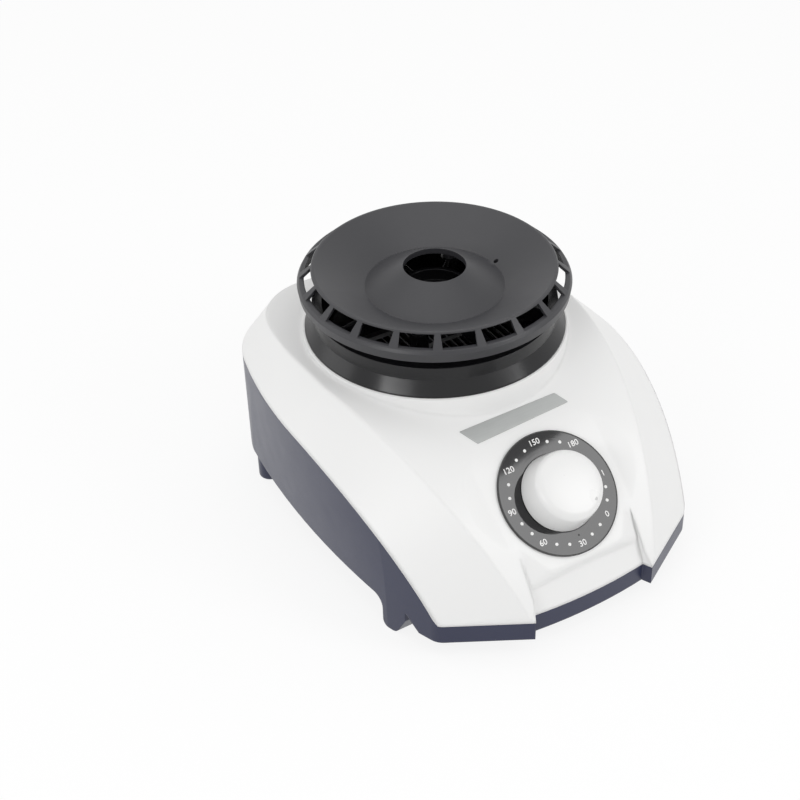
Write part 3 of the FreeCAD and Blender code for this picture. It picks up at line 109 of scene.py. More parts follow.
def lengths(name, text, *millimetres):
    """Lengths that belong together, such as a place or a width and height, given in millimetres."""
    return FloatVectorProperty(
        name=name, description=text, default=[each * MM for each in millimetres],
        size=len(millimetres), unit="LENGTH", precision=5)


def strength(name, text, default):
    """A brightness, or a share, that a user would change."""
    return FloatProperty(name=name, description=text, default=default, min=0.0)


def angle(name, text, degrees):
    """An angle that a user would change, given here in degrees."""
    return FloatProperty(
        name=name, description=text, default=math.radians(degrees), subtype="ANGLE")


class DryerPlastics(bpy.types.PropertyGroup):
    """Colours of the moulded pieces."""

    cover: colour("Cover", "White satin plastic of the upper shell", (0.80, 0.80, 0.795))
    base: colour("Base", "Dark blue-grey plastic of the lower shell", (0.016, 0.020, 0.055))
    collar: colour("Collar", "Black gloss plastic of the outlet collar", (0.007, 0.007, 0.008))
    cap: colour("Cap", "Charcoal plastic of the saucer cap", (0.030, 0.030, 0.034))
    dial: colour("Dial", "Black gloss plastic of the dial plate", (0.007, 0.007, 0.008))
    knob: colour("Knob", "White plastic of the timer knob", (0.77, 0.77, 0.765))
    inner: colour("Inner", "Black heat-proof plastic of the inner pieces", (0.045, 0.045, 0.045))
    fan: colour("Fan", "Dark grey plastic of the fan", (0.09, 0.09, 0.095))
    block: colour("Block", "Pale plastic of the terminal block", (0.70, 0.68, 0.62))
    gland: colour("Gland", "Black rubber of the cord gland", (0.02, 0.02, 0.02))
    grain: length("Grain", "Size of the moulded grain on the base", 0.55)
    rounding: length("Rounding", "Softness of the moulded edges", 0.45)
    crease: length("Crease", "Softness of the cover's creases", 2.8)
    base_crease: length("Base crease", "Softness of the base's edges", 1.12)


class DryerMetals(bpy.types.PropertyGroup):
    """Colours of the metal pieces."""

    steel: colour("Steel", "Zinc-plated sheet steel", (0.52, 0.52, 0.51))
    shaft: colour("Shaft", "Ground steel of the shafts", (0.60, 0.60, 0.60))
    screw: colour("Screw", "Zinc-plated screws", (0.50, 0.50, 0.49))
    iron: colour("Iron", "Stamped sheets of the stator", (0.24, 0.24, 0.25))
    magnet: colour("Magnet", "Ferrite of the rotor", (0.10, 0.10, 0.11))
    copper: colour("Copper", "Enamelled copper wire", (0.58, 0.26, 0.12))
    brass: colour("Brass", "Brass of the tabs and bearings", (0.68, 0.52, 0.26))
    aluminium: colour("Aluminium", "Heater fins and bars", (0.16, 0.16, 0.165))
    plate: colour("Plate", "Silver foil of the bare plate", (0.40, 0.41, 0.405))


class DryerDialPrint(bpy.types.PropertyGroup):
    """Numbers and dots on the dial plate."""

    numbers: StringProperty(
        name="Numbers", description="Marks in turn, clockwise, at equal steps",
        default="0 30 60 90 120 150 180 I")
    first_turn: angle("First mark", "Turn of the first mark, clockwise from the top", 135.0)
    number_reach: length("Number reach", "From the dial's middle to a number's middle", 25.7)
    number_size: length("Number size", "Size of the figures", 4.0)
    boldness: length("Boldness", "How much each stroke is widened at its sides", 0.05)
    dot_reach: length("Dot reach", "From the dial's middle to a dot", 24.6)
    dot_radius: length("Dot radius", "Radius of a printed dot", 0.78)
    ink_depth: length("Ink depth", "Thickness of the printed ink", 0.06)
    ink: colour("Ink", "White printing ink", (0.85, 0.85, 0.84))
    pin_reach: length("Pin reach", "From the dial's middle to the tiny black pin", 21.6)
    pin_radius: length("Pin radius", "Radius of the tiny black pin", 0.45)
    # The pin is printed black. The two rings are painted shade: the ring round the knob stands for
    # the shaded gap under the raised knob, and the rim stands for the dial plate's shaded edge.
    pin: colour("Pin", "Black of the pin and of the two rings", (0.008, 0.008, 0.008))
    shade_ring_inner: length("Groove inside", "Inner radius of the black ring round the knob", 18.0)
    shade_ring_outer: length("Groove outside", "Outer radius of the black ring round the knob", 19.0)
    shade_rim_width: length("Rim width", "Width of the black rim of the dial", 0.6)


class DryerKnob(bpy.types.PropertyGroup):
    """The timer knob and its mark."""

    foot_radius: length("Foot radius", "Radius at the knob's foot", 18.6)
    top_radius: length("Top radius", "Radius at the knob's top, before its edge is rounded", 16.5)
    lift: length("Lift", "Gap between the dial and the knob", 0.5)
    height: length("Height", "From the knob's foot to its top edge", 14.6)
    crown: length("Crown", "How far the middle of the top stands above its edge", 0.8)
    edge: length("Edge", "Rounding of the top edge", 3.2)
    mark_turn: angle("Mark turn", "Turn of the mark at rest, clockwise from the top", 143.0)
    mark_reach: length("Mark reach", "From the knob's middle to its mark", 13.1)
    mark_radius: length("Mark radius", "Radius of the mark", 0.9)
    mark_rise: length("Mark rise", "Height of the mark over the top's edge", 0.24)
    mark: colour("Mark", "Grey of the mark", (0.55, 0.55, 0.55))


class DryerCap(bpy.types.PropertyGroup):
    """Windows in the skirt of the saucer cap."""

    windows: IntProperty(name="Windows", description="Windows round the skirt", default=20, min=1)
    turn: angle("Turn", "Turn of the front window, anticlockwise from above", -4.1)
    width: length("Width", "Width of a window", 15.8)
    reach: length("Reach", "From the outlet's axis to a window's inner side", 57.9)
    depth: length("Depth", "How far a window's cut runs outwards", 6.0)
    lip: length("Lip", "Height of the rim over a window", 0.6)
    drop: length("Drop", "How far the cut runs down from the lip", 1.8)
    sharp: angle("Sharp", "Edges of the cap that turn by more than this stay sharp", 15.0)


class DryerPlate(bpy.types.PropertyGroup):
    """The bare plate between the outlet and the dial."""

    back_left: lengths("Back left", "Corner of the plate", -30.1, -41.1)
    back_right: lengths("Back right", "Corner of the plate", 23.7, -40.8)
    front_left: lengths("Front left", "Corner of the plate", -25.1, -49.3)
    front_right: lengths("Front right", "Corner of the plate", 27.4, -47.2)
    thickness: length("Thickness", "Thickness of the plate", 0.35)
    corner: length("Corner", "Rounding of the plate's corners", 0.6)
    sink: length("Sink", "How far the plate's lower face lies in the cover", 0.05)


class DryerStage(bpy.types.PropertyGroup):
    """Camera, floor and light."""

    azimuth: angle("Azimuth", "Turn of the camera round the object", -33.19)
    elevation: angle("Elevation", "Height of the camera above the horizon", 36.99)
    distance: length("Distance", "From the camera to its target", 771.17)
    target: lengths("Target", "Point that the camera looks at", 0.0, 0.5, 62.5)
    lens: FloatProperty(name="Lens", description="Focal length", default=70.485, unit="CAMERA")
    shift: FloatVectorProperty(
        name="Shift", description="Shift of the picture, in frame widths",
        default=(-0.0804, -0.0009), size=2, precision=4)
    sky: strength("Sky", "Strength of the even light", 0.67)
    floor: colour("Floor", "Pale floor", (0.93, 0.93, 0.93))
    floor_size: length("Floor size", "Half the floor's width", 4000.0)
    glow: strength("Glow", "Share of plain white in the floor that the camera sees", 0.85)
    key: strength("Key", "Brightness of the box in the dial's gloss", 4.3)
    key_size: length("Key size", "Edge of the box that the dial mirrors", 360.0)
    key_reach: length("Key reach", "From the dial to that box", 950.0)
    key_edge: length("Key edge", "How far that box stands above the dial's mirrored middle", 50.0)
    key_turn: angle("Key turn", "Lean of that box's upper edge, anticlockwise on the dial", 10.0)
    left: strength("Left", "Brightness of the left strip light", 14.0)
    left_place: lengths("Left place", "Middle of the left strip light", -800.0, -350.0, 480.0)
    left_size: lengths("Left size", "Width and height of the left strip light", 400.0, 80.0)
    front: strength("Front", "Brightness of the front strip light", 10.0)
    front_place: lengths("Front place", "Middle of the front strip light", 530.0, -760.0, 360.0)
    front_size: lengths("Front size", "Width and height of the front strip light", 250.0, 70.0)
    rear: strength("Rear", "Brightness of the rear soft box", 1.2)
    rear_place: lengths("Rear place", "Middle of the rear soft box", -850.0, 600.0, 420.0)
    rear_size: lengths("Rear size", "Width and height of the rear soft box", 700.0, 400.0)
    top: strength("Top", "Brightness of the overhead soft box", 0.8)
    top_place: lengths("Top place", "Middle of the overhead soft box", 0.0, 250.0, 1400.0)
    top_size: lengths("Top size", "Width and depth of the overhead soft box", 1200.0, 1200.0)


class DryerLooks(bpy.types.PropertyGroup):
    """All that a user would change."""

    plastics: PointerProperty(type=DryerPlastics)
    metals: PointerProperty(type=DryerMetals)
    dial: PointerProperty(type=DryerDialPrint)
    knob: PointerProperty(type=DryerKnob)
    cap: PointerProperty(type=DryerCap)
    plate: PointerProperty(type=DryerPlate)
    stage: PointerProperty(type=DryerStage)


class Value:
    """A socket that takes part in Python expressions."""

    def __init__(self, finish, socket):
        self.finish = finish
        self.socket = socket

    def maths(self, operation, first, second):
        return self.finish.node("ShaderNodeMath", {"operation": operation}, {0: first, 1: second})

    def __add__(self, other):
        return self.maths("ADD", self, other)

    def __rsub__(self, other):
        return self.maths("SUBTRACT", other, self)

    def __mul__(self, other):
        return self.maths("MULTIPLY", self, other)

    def __pow__(self, other):
        return self.maths("POWER", self, other)

    def most(self, other):
        return self.maths("MAXIMUM", self, other)

    def sine(self):
        return self.maths("SINE", self, 0.0)

    def within(self, low, high):
        """Runs from 0 at low to 1 at high, held outside."""
        return self.finish.node(
            "ShaderNodeMapRange", {"interpolation_type": "SMOOTHSTEP"},
            {"Value": self, "From Min": low, "From Max": high})


class Finish:
    """One procedural material and the nodes that feed its shader."""

    def __init__(self, name):
        self.material = bpy.data.materials.new(name)
        self.material.use_nodes = True
        self.tree = self.material.node_tree
        self.tree.nodes.clear()
        self.output = self.tree.nodes.new("ShaderNodeOutputMaterial")

    def node(self, kind, settings=None, sockets=None, output=0):
        """Adds a node: its settings first, then the values or links of its sockets."""
        node = self.tree.nodes.new(kind)
        for name, value in (settings or {}).items():
            setattr(node, name, value)
        for key, value in (sockets or {}).items():
            if isinstance(value, Value):
                self.tree.links.new(value.socket, node.inputs[key])
            else:
                node.inputs[key].default_value = value
        return Value(self, node.outputs[output])

    def surface(self, shader):
        """Joins a shader to the output."""
        self.tree.links.new(shader.socket, self.output.inputs["Surface"])

    def shade(self, **sockets):
        """Ends the material with one Principled shader."""
        named = {key.replace("_", " ").title().replace("Ior", "IOR"): value
                 for key, value in sockets.items()}
        self.surface(self.node("ShaderNodeBsdfPrincipled", None, named))
        return self.material

    def place(self, scale=(1.0, 1.0, 1.0), centre=(0.0, 0.0, 0.0)):
        """Object coordinates about a centre, stretched."""
        where = self.node("ShaderNodeTexCoord", None, None, "Object")
        moved = self.node(
            "ShaderNodeVectorMath", {"operation": "SUBTRACT"}, {0: where, 1: tuple(centre)})
        return self.node(
            "ShaderNodeVectorMath", {"operation": "MULTIPLY"}, {0: moved, 1: tuple(scale)})

    def noise(self, size, detail=2.0, where=None, roughness=0.5):
        """Cloudy noise whose blobs are about size across, in metres."""
        return self.node(
            "ShaderNodeTexNoise", None,
            {"Vector": where or self.place(), "Scale": 1.0 / size, "Detail": detail,
             "Roughness": roughness})

    def axes(self, where):
        """A place's parts along X, Y and Z."""
        return [self.node("ShaderNodeSeparateXYZ", None, {0: where}, i) for i in range(3)]

    def mix(self, factor, first, second):
        """Blends two colours: a Mix node has its colours at sockets 6 and 7, and at output 2."""
        return self.node(
            "ShaderNodeMix", {"data_type": "RGBA"}, {0: factor, 6: first, 7: second}, 2)

    def soft_edges(self, radius):
        """Normal that rounds the edges off, and how near an edge is, from 0 to 1."""
        normal = self.node("ShaderNodeBevel", {"samples": 6}, {"Radius": radius})
        flat = self.node("ShaderNodeNewGeometry", None, None, "Normal")
        alike = self.node(
            "ShaderNodeVectorMath", {"operation": "DOT_PRODUCT"}, {0: normal, 1: flat}, "Value")
        return normal, (1.0 - alike).within(0.02, 0.25)

    def bump(self, height, depth, normal):
        """Normal with a height laid over it, whose full range is depth, in metres."""
        return self.node(
            "ShaderNodeBump", None,
            {"Strength": 1.0, "Distance": depth, "Height": height, "Normal": normal})


def full(rgb):
    """A colour with its alpha."""
    return (*rgb, 1.0)


def tinted(rgb, factor):
    """A lighter or darker colour with its alpha."""
    return tuple(min(1.0, channel * factor) for channel in rgb) + (1.0,)


def moulded(name, rgb, grain, depth, rough, rounding=0.0004, spread=0.06, wear=1.12, mottle=0.02):
    """Injection-moulded plastic: grained skin, soft edges, faint flow shades and edge wear."""
    made = Finish(name)
    flow = made.noise(0.035, detail=3.0, where=made.place((1.0, 0.55, 1.4)))
    skin = made.noise(grain, detail=3.0, roughness=0.6)
    swell = made.noise(0.006, detail=1.0)
    rubbed = made.noise(0.012, detail=4.0)
    normal, edge = made.soft_edges(rounding)
    shade = made.mix(flow, tinted(rgb, 1.0 - mottle), tinted(rgb, 1.0 + mottle))
    worn = made.mix(edge * rubbed.within(0.35, 0.75), shade, tinted(rgb, wear))
    height = skin * 0.7 + swell * 0.3
    return made.shade(
        base_color=worn,
        roughness=rubbed * spread + (rough - spread / 2),
        normal=made.bump(height, depth, normal))


def glossy(name, rgb, rough, rounding, swirl, centre, shine):
    """Gloss plastic with faint polishing rings and a few fine rub marks."""
    made = Finish(name)
    x, y, z = made.axes(made.place(centre=centre))
    reach = (x * x + y * y + z * z) ** 0.5
    line = made.node("ShaderNodeCombineXYZ", None, {0: reach})
    rings = made.noise(0.0011, detail=2.0, where=line)
    smudge = made.noise(0.018, detail=3.0)
    rub = made.noise(0.0009, detail=3.0, where=made.place((1.0, 0.08, 0.4), centre))
    normal, edge = made.soft_edges(rounding)
    shade = made.mix(smudge, tinted(rgb, 0.92), tinted(rgb, 1.1))
    return made.shade(
        base_color=made.mix(edge * 0.5, shade, tinted(rgb, 1.7)),
        specular_ior_level=shine,
        roughness=rings * swirl + smudge.within(0.45, 0.8) * swirl + rub * (swirl * 0.6) + rough,
        normal=made.bump(rings * 0.4 + smudge, swirl * 0.0002, normal))


def rolled(name, rgb, rough, stretch, rounding=0.0002, metallic=1.0):
    """Rolled or brushed metal: fine streaks along the axis with the least stretch."""
    made = Finish(name)
    streak = made.noise(0.0005, detail=3.0, where=made.place(stretch))
    cloud = made.noise(0.008, detail=3.0)
    normal, edge = made.soft_edges(rounding)
    shade = made.mix(streak * 0.6 + cloud * 0.4, tinted(rgb, 0.82), tinted(rgb, 1.12))
    return made.shade(
        base_color=made.mix(edge * 0.6, shade, tinted(rgb, 1.3)),
        metallic=metallic,
        roughness=streak * 0.18 + cloud * 0.08 + rough,
        normal=made.bump(streak, 0.00002, normal))


def turned(name, rgb, rough, centre):
    """Ground or turned metal: fine rings round an upright axis."""
    made = Finish(name)
    x, y, z = made.axes(made.place(centre=centre))
    reach = (x * x + y * y) ** 0.5
    line = made.node("ShaderNodeCombineXYZ", None, {0: reach, 1: z})
    rings = made.noise(0.00035, detail=2.0, where=line)
    cloud = made.noise(0.006, detail=3.0)
    normal, edge = made.soft_edges(0.0002)
    shade = made.mix(rings * 0.5 + cloud * 0.5, tinted(rgb, 0.85), tinted(rgb, 1.12))
    return made.shade(
        base_color=made.mix(edge * 0.6, shade, tinted(rgb, 1.25)),
        metallic=1.0,
        roughness=rings * 0.14 + rough,
        normal=made.bump(rings, 0.00001, normal))


def layered(name, rgb, rough, pitch, metallic, centre, stacked):
    """Stacked sheets, or wire wound side by side: ridges at a pitch along Z or outwards."""
    made = Finish(name)
    x, y, z = made.axes(made.place(centre=centre))
    along = z if stacked else (x * x + y * y) ** 0.5
    ridge = (along * (2.0 * math.pi / pitch)).sine() * 0.5 + 0.5
    cloud = made.noise(0.004, detail=3.0)
    normal = made.node("ShaderNodeBevel", {"samples": 4}, {"Radius": 0.00025})
    shade = made.mix(ridge * 0.7 + cloud * 0.3, tinted(rgb, 0.55), tinted(rgb, 1.15))
    return made.shade(
        base_color=shade, metallic=metallic, roughness=cloud * 0.15 + rough,
        normal=made.bump(ridge, pitch * 0.25, normal))


def rubber(name, rgb):
    """Matte rubber with a fine bloom."""
    made = Finish(name)
    bloom = made.noise(0.003, detail=4.0)
    skin = made.noise(0.0004, detail=2.0)
    normal, edge = made.soft_edges(0.0004)
    shade = made.mix(bloom, tinted(rgb, 0.8), tinted(rgb, 1.6))
    return made.shade(
        base_color=made.mix(edge * 0.4, shade, tinted(rgb, 2.2)),
        roughness=bloom * 0.15 + 0.62, normal=made.bump(skin, 0.00004, normal))


def printed(name, rgb):
    """Screen-printed ink with slightly uneven cover."""
    made = Finish(name)
    cover = made.noise(0.0012, detail=3.0)
    return made.shade(
        base_color=made.mix(cover, tinted(rgb, 0.9), full(rgb)),
        roughness=cover * 0.1 + 0.4,
        normal=made.bump(cover, 0.00001, made.node("ShaderNodeBevel", None, {"Radius": 0.00003})))


def dress(material, *names):
    """Gives CAD nodes their finish."""
    for name in names:
        node = NODES[name]
        node.data.materials.clear()
        node.data.materials.append(material)


def piece(name, mesh, material, body):
    """A finished mesh becomes a piece at the origin, riding on a body."""
    made = bpy.data.objects.new(name, mesh)
    bpy.context.scene.collection.objects.link(made)
    mesh.materials.clear()
    mesh.materials.append(material)
    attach(made, body)
    return made


def mesh_from(bm, name):
    """Closes a bmesh off: doubles merged, normals outwards."""
    bmesh.ops.remove_doubles(bm, verts=bm.verts, dist=SAME_PLACE)
    bmesh.ops.recalc_face_normals(bm, faces=bm.faces)
    mesh = bpy.data.meshes.new(name)
    bm.to_mesh(mesh)
    bm.free()
    return mesh


def height_over_dial(name):
    """How far a node reaches out of the dial's panel."""
    return max((v.co - DIAL_CENTRE).dot(DIAL_UP) for v in NODES[name].data.vertices)


def dial_matrix(height):
    """From the dial's own plane, X right and Y up the slope, to the object's frame."""
    turn = Matrix((RIGHT, DIAL_SLOPE, DIAL_UP)).transposed().to_4x4()
    return Matrix.Translation(DIAL_CENTRE + DIAL_UP * height) @ turn


def clock_place(turn, reach):
    """A point of the dial's plane, turned clockwise from the top."""
    return Vector((math.sin(turn) * reach, math.cos(turn) * reach, 0.0))


def add_disc(bm, place, radius, depth):
    """Adds a thin disc, flat in the dial's plane."""
    made = bmesh.ops.create_cone(
        bm, cap_ends=True, segments=DISC_SIDES, radius1=radius, radius2=radius, depth=depth)
    bmesh.ops.translate(bm, verts=made["verts"], vec=place)


def add_turned(bm, outline):
    """Adds the shape that an outline of radius and height leaves when it turns once round Z."""
    corners = [bm.verts.new((reach, 0.0, height)) for reach, height in outline]
    lines = [bm.edges.new(pair) for pair in zip(corners, corners[1:] + corners[:1])]
    lines = [line for line in lines if any(v.co.x > 0.0 for v in line.verts)]
    bmesh.ops.spin(bm, geom=corners + lines, cent=(0.0, 0.0, 0.0), axis=UPRIGHT,
                   angle=2.0 * math.pi, steps=ROUND_STEPS, use_merge=True)
    bmesh.ops.delete(bm, geom=[e for e in bm.edges if not e.link_faces], context="EDGES")


def add_figures(bm, text, place, size, depth, boldness):
    """Adds the mesh of a short text, upright in the dial's plane."""
    words = bpy.data.curves.new("figures", "FONT")
    words.body = text
    words.size = size
    words.align_x = "CENTER"
    words.align_y = "CENTER"
    words.extrude = depth / 2
    words.offset = boldness
    words.resolution_u = 3
    holder = bpy.data.objects.new("figures", words)
    bpy.context.scene.collection.objects.link(holder)
    bpy.context.view_layer.update()
    shape = bpy.data.meshes.new_from_object(
        holder.evaluated_get(bpy.context.evaluated_depsgraph_get()))
    shape.transform(Matrix.Translation(place))
    bm.from_mesh(shape)
    bpy.data.objects.remove(holder)
    bpy.data.curves.remove(words)
    bpy.data.meshes.remove(shape)


class DRYER_OT_housing(bpy.types.Operator):
    """Finish the white cover and the dark base"""

    bl_idname = "dryer.housing"
    bl_label = "Housing"

    def execute(self, context):
        look = context.scene.dryer.plastics
        dress(moulded("cover_plastic", look.cover, grain=0.0007, depth=0.000012, rough=0.40,
                      rounding=look.crease, spread=0.05, wear=1.03, mottle=0.008), "top_cover")
        dress(moulded("base_plastic", look.base, grain=look.grain, depth=0.00005, rough=0.32,
                      rounding=look.base_crease, spread=0.1, wear=1.35, mottle=0.04), "base_shell")
        return {"FINISHED"}


class DRYER_OT_outlet(bpy.types.Operator):
    """Finish the gloss collar and the saucer cap, and open the cap's windows up to its rim"""

    bl_idname = "dryer.outlet"
    bl_label = "Outlet"

    def execute(self, context):
        look = context.scene.dryer.plastics
        charcoal = moulded("cap_plastic", look.cap, grain=0.0005, depth=0.00003, rough=0.40,
                           rounding=look.rounding, spread=0.08, wear=1.2, mottle=0.05)
        dress(charcoal, "outlet_cap")
        shell = piece("cap_shell", self.opened_cap(context, context.scene.dryer.cap), charcoal,
                      "housing")
        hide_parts("outlet_cap")
        dress(glossy("collar_plastic", look.collar, rough=0.17, rounding=look.rounding, swirl=0.04,
                     centre=OUTLET_AXIS, shine=0.36), "outlet_collar")
        return {"FINISHED"}

    def opened_cap(self, context, look):
        """The cap's mesh with each window cut up to a thin lip under the rim."""
        cap_bm = bmesh.new()
        cap_bm.from_mesh(NODES["outlet_cap"].data)
        cutter = bpy.data.objects.new("window_cut", self.window_blocks(look))
        solid = bpy.data.objects.new("cap_solid", mesh_from(cap_bm, "cap_solid"))
        for made in (cutter, solid):
            context.scene.collection.objects.link(made)
        cut = solid.modifiers.new("windows", "BOOLEAN")
        cut.operation = "DIFFERENCE"
        cut.solver = "EXACT"
        cut.object = cutter
        context.view_layer.update()
        shape = bpy.data.meshes.new_from_object(
            solid.evaluated_get(context.evaluated_depsgraph_get()))
        for mesh in (cutter.data, solid.data):
            bpy.data.meshes.remove(mesh)
        shape.name = "cap_shell"
        shape.shade_smooth()
        shape.set_sharp_from_angle(angle=look.sharp)
        return shape

    def window_blocks(self, look):
        """One block for each window, from the lip down into the window."""
        cut_bm = bmesh.new()
        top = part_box("outlet_cap")[1].z - look.lip
        for i in range(look.windows):
            block = bmesh.ops.create_cube(cut_bm, size=1.0)["verts"]
            bmesh.ops.scale(cut_bm, vec=(look.width, look.depth, look.drop), verts=block)
            out = Vector((0.0, -look.reach - look.depth / 2, top - look.drop / 2))
            bmesh.ops.translate(cut_bm, vec=out, verts=block)
            turn = Matrix.Rotation(look.turn + 2.0 * math.pi * i / look.windows, 3, "Z")
            bmesh.ops.rotate(cut_bm, cent=(0.0, 0.0, 0.0), matrix=turn, verts=block)
        bmesh.ops.translate(cut_bm, vec=(OUTLET_AXIS.x, OUTLET_AXIS.y, 0.0), verts=cut_bm.verts)
        return mesh_from(cut_bm, "window_cut")


class DRYER_OT_dial(bpy.types.Operator):
    """Finish the dial plate, print its numbers, dots and pin, and lay its two black rings of
    painted shade
    """

    bl_idname = "dryer.dial"
    bl_label = "Dial"

    def execute(self, context):
        plastics = context.scene.dryer.plastics
        look = context.scene.dryer.dial
        dress(glossy("dial_plastic", plastics.dial, rough=0.025, rounding=0.0003, swirl=0.02,
                     centre=DIAL_CENTRE, shine=0.5), "dial_plate")
        piece("dial_print", self.marks(look),
              printed("dial_ink", look.ink), "housing")
        # The real pin and the two painted-shade rings share one black ink.
        piece("dial_pin_and_shade_rings", self.pin_and_shade_rings(look),
              printed("pin_and_shade_black", look.pin), "housing")
        return {"FINISHED"}

    def marks(self, look):
        """White marks at equal steps, with two dots after each except the last but one."""
        print_bm = bmesh.new()
        numbers = look.numbers.split()
        step = 2.0 * math.pi / len(numbers)
        for i, text in enumerate(numbers):
            turn = look.first_turn + i * step
            add_figures(print_bm, text, clock_place(turn, look.number_reach), look.number_size,
                        look.ink_depth, look.boldness)
            if i == len(numbers) - 2:
                continue
            for third in (1, 2):
                add_disc(print_bm, clock_place(turn + third * step / 3, look.dot_reach),
                         look.dot_radius, look.ink_depth)
        return self.on_dial(print_bm, "dial_print")

    def pin_and_shade_rings(self, look):
        """The tiny black pin, and two flat black rings of painted shade: one round the knob for the
        shaded gap under it, one at the dial's rim for its shaded edge.
        """
        pin_and_shade_bm = bmesh.new()
        add_disc(pin_and_shade_bm, clock_place(math.pi, look.pin_reach), look.pin_radius, look.ink_depth)
        outer = max((v.co - DIAL_CENTRE).cross(DIAL_UP).length
                    for v in NODES["dial_plate"].data.vertices)
        skin = look.ink_depth / 2
        # Painted shade: both rings are flat black ink where the gap under the knob and the dial's
        # edge lie in shadow.
        for low, high in ((look.shade_ring_inner, look.shade_ring_outer), (outer - look.shade_rim_width, outer)):
            add_turned(pin_and_shade_bm, [(low, -skin), (high, -skin), (high, skin), (low, skin)])
        return self.on_dial(pin_and_shade_bm, "dial_pin_and_shade_rings")

    def on_dial(self, bm, name):
        """Lays a flat bmesh on the dial plate's face."""
        bmesh.ops.transform(bm, matrix=dial_matrix(height_over_dial("dial_plate")), verts=bm.verts)
        return mesh_from(bm, name)


class DRYER_OT_knob(bpy.types.Operator):
    """Turn the timer knob's grip and set its pointing mark"""

    bl_idname = "dryer.knob"
    bl_label = "Knob"

    def execute(self, context):
        look = context.scene.dryer
        knob = look.knob
        white = moulded("knob_plastic", look.plastics.knob, grain=0.0006, depth=0.00001, rough=0.28,
                        spread=0.05, wear=1.03, mottle=0.008)
        dress(white, "timer_knob")
        foot = height_over_dial("dial_plate") + knob.lift
        top = foot + knob.height
        grip = piece("knob_grip", self.grip(knob, foot, top), white, "timer")
        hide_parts("timer_knob")
        mark_bm = bmesh.new()
        add_disc(mark_bm, clock_place(knob.mark_turn, knob.mark_reach), knob.mark_radius,
                 look.dial.ink_depth)
        crown = dial_matrix(top + knob.mark_rise)
        bmesh.ops.transform(mark_bm, matrix=crown, verts=mark_bm.verts)
        piece("knob_mark", mesh_from(mark_bm, "knob_mark"),
              printed("mark_grey", knob.mark), "timer")
        return {"FINISHED"}

    def grip(self, knob, foot, top):
        """A tapered turning with a rounded top edge, a crisp foot and a parabola's crown."""
        grip_bm = bmesh.new()
        halfway = 0.5
        add_turned(grip_bm, [
            (0.0, foot), (knob.foot_radius, foot), (knob.top_radius, top),
            (knob.top_radius * halfway, top + knob.crown * (1.0 - halfway ** 2)),
            (0.0, top + knob.crown)])
        bmesh.ops.remove_doubles(grip_bm, verts=grip_bm.verts, dist=SAME_PLACE)
        rim = [line for line in grip_bm.edges
               if all(abs(v.co.z - top) < SAME_PLACE for v in line.verts)]
        bmesh.ops.bevel(grip_bm, geom=rim, offset=knob.edge, offset_type="OFFSET", segments=8,
                        profile=0.5, affect="EDGES", material=-1)
        for face in grip_bm.faces:
            face.smooth = True
        for line in grip_bm.edges:
            line.smooth = any(v.co.z > foot + SAME_PLACE for v in line.verts)
        bmesh.ops.transform(grip_bm, matrix=dial_matrix(0.0), verts=grip_bm.verts)
        return mesh_from(grip_bm, "knob_grip")


class DRYER_OT_plate(bpy.types.Operator):
    """Lay the bare silver plate on the cover's slope"""

    bl_idname = "dryer.plate"
    bl_label = "Bare plate"

    def execute(self, context):
        look = context.scene.dryer.plate
        front = Vector(look.front_left), Vector(look.front_right)
        back = Vector(look.back_left), Vector(look.back_right)
        plate_bm = bmesh.new()
        bmesh.ops.create_grid(plate_bm, x_segments=40, y_segments=6, size=1.0)
        corners = [v for v in plate_bm.verts if len(v.link_faces) == 1]
        for v in plate_bm.verts:
            across = (v.co.x + 1.0) / 2
            low = front[0].lerp(front[1], across)
            v.co = low.lerp(back[0].lerp(back[1], across), (v.co.y + 1.0) / 2).to_3d()
        bmesh.ops.bevel(plate_bm, geom=corners, offset=look.corner, offset_type="OFFSET",
                        segments=4, profile=0.5, affect="VERTICES", material=-1)
        cover = BVHTree.FromObject(NODES["top_cover"], context.evaluated_depsgraph_get())
        over = CAD_BOX[1].z
        for v in plate_bm.verts:
            hit = cover.ray_cast(Vector((v.co.x, v.co.y, over)), -UPRIGHT)
            if hit[0] is None:
                raise RuntimeError("the plate misses the cover")
            v.co = hit[0] - hit[1] * look.sink
        bmesh.ops.recalc_face_normals(plate_bm, faces=plate_bm.faces)
        if sum(face.normal.z for face in plate_bm.faces) < 0.0:
            bmesh.ops.reverse_faces(plate_bm, faces=plate_bm.faces)
        bmesh.ops.solidify(plate_bm, geom=plate_bm.faces, thickness=-look.thickness)
        piece("bare_plate", mesh_from(plate_bm, "bare_plate"),
              rolled("plate_silver", context.scene.dryer.metals.plate, rough=0.34,
                     stretch=(0.05, 1.0, 1.0)), "housing")
        return {"FINISHED"}


class DRYER_OT_timer(bpy.types.Operator):
    """Finish the timer behind the panel"""

    bl_idname = "dryer.timer"
    bl_label = "Timer"

    def execute(self, context):
        plastics = context.scene.dryer.plastics
        metals = context.scene.dryer.metals
        dress(moulded("timer_plastic", plastics.inner, grain=0.0006, depth=0.00004, rough=0.5),
              "timer_case")
        dress(rolled("timer_steel", metals.steel, rough=0.28, stretch=(0.1, 1.0, 1.0)),
              "timer_plate")
        dress(rolled("tab_brass", metals.brass, rough=0.26, stretch=(1.0, 1.0, 0.1)),
              "timer_terminals")
        dress(turned("timer_shaft_steel", metals.shaft, rough=0.22, centre=DIAL_CENTRE),
              "timer_shaft")
        return {"FINISHED"}


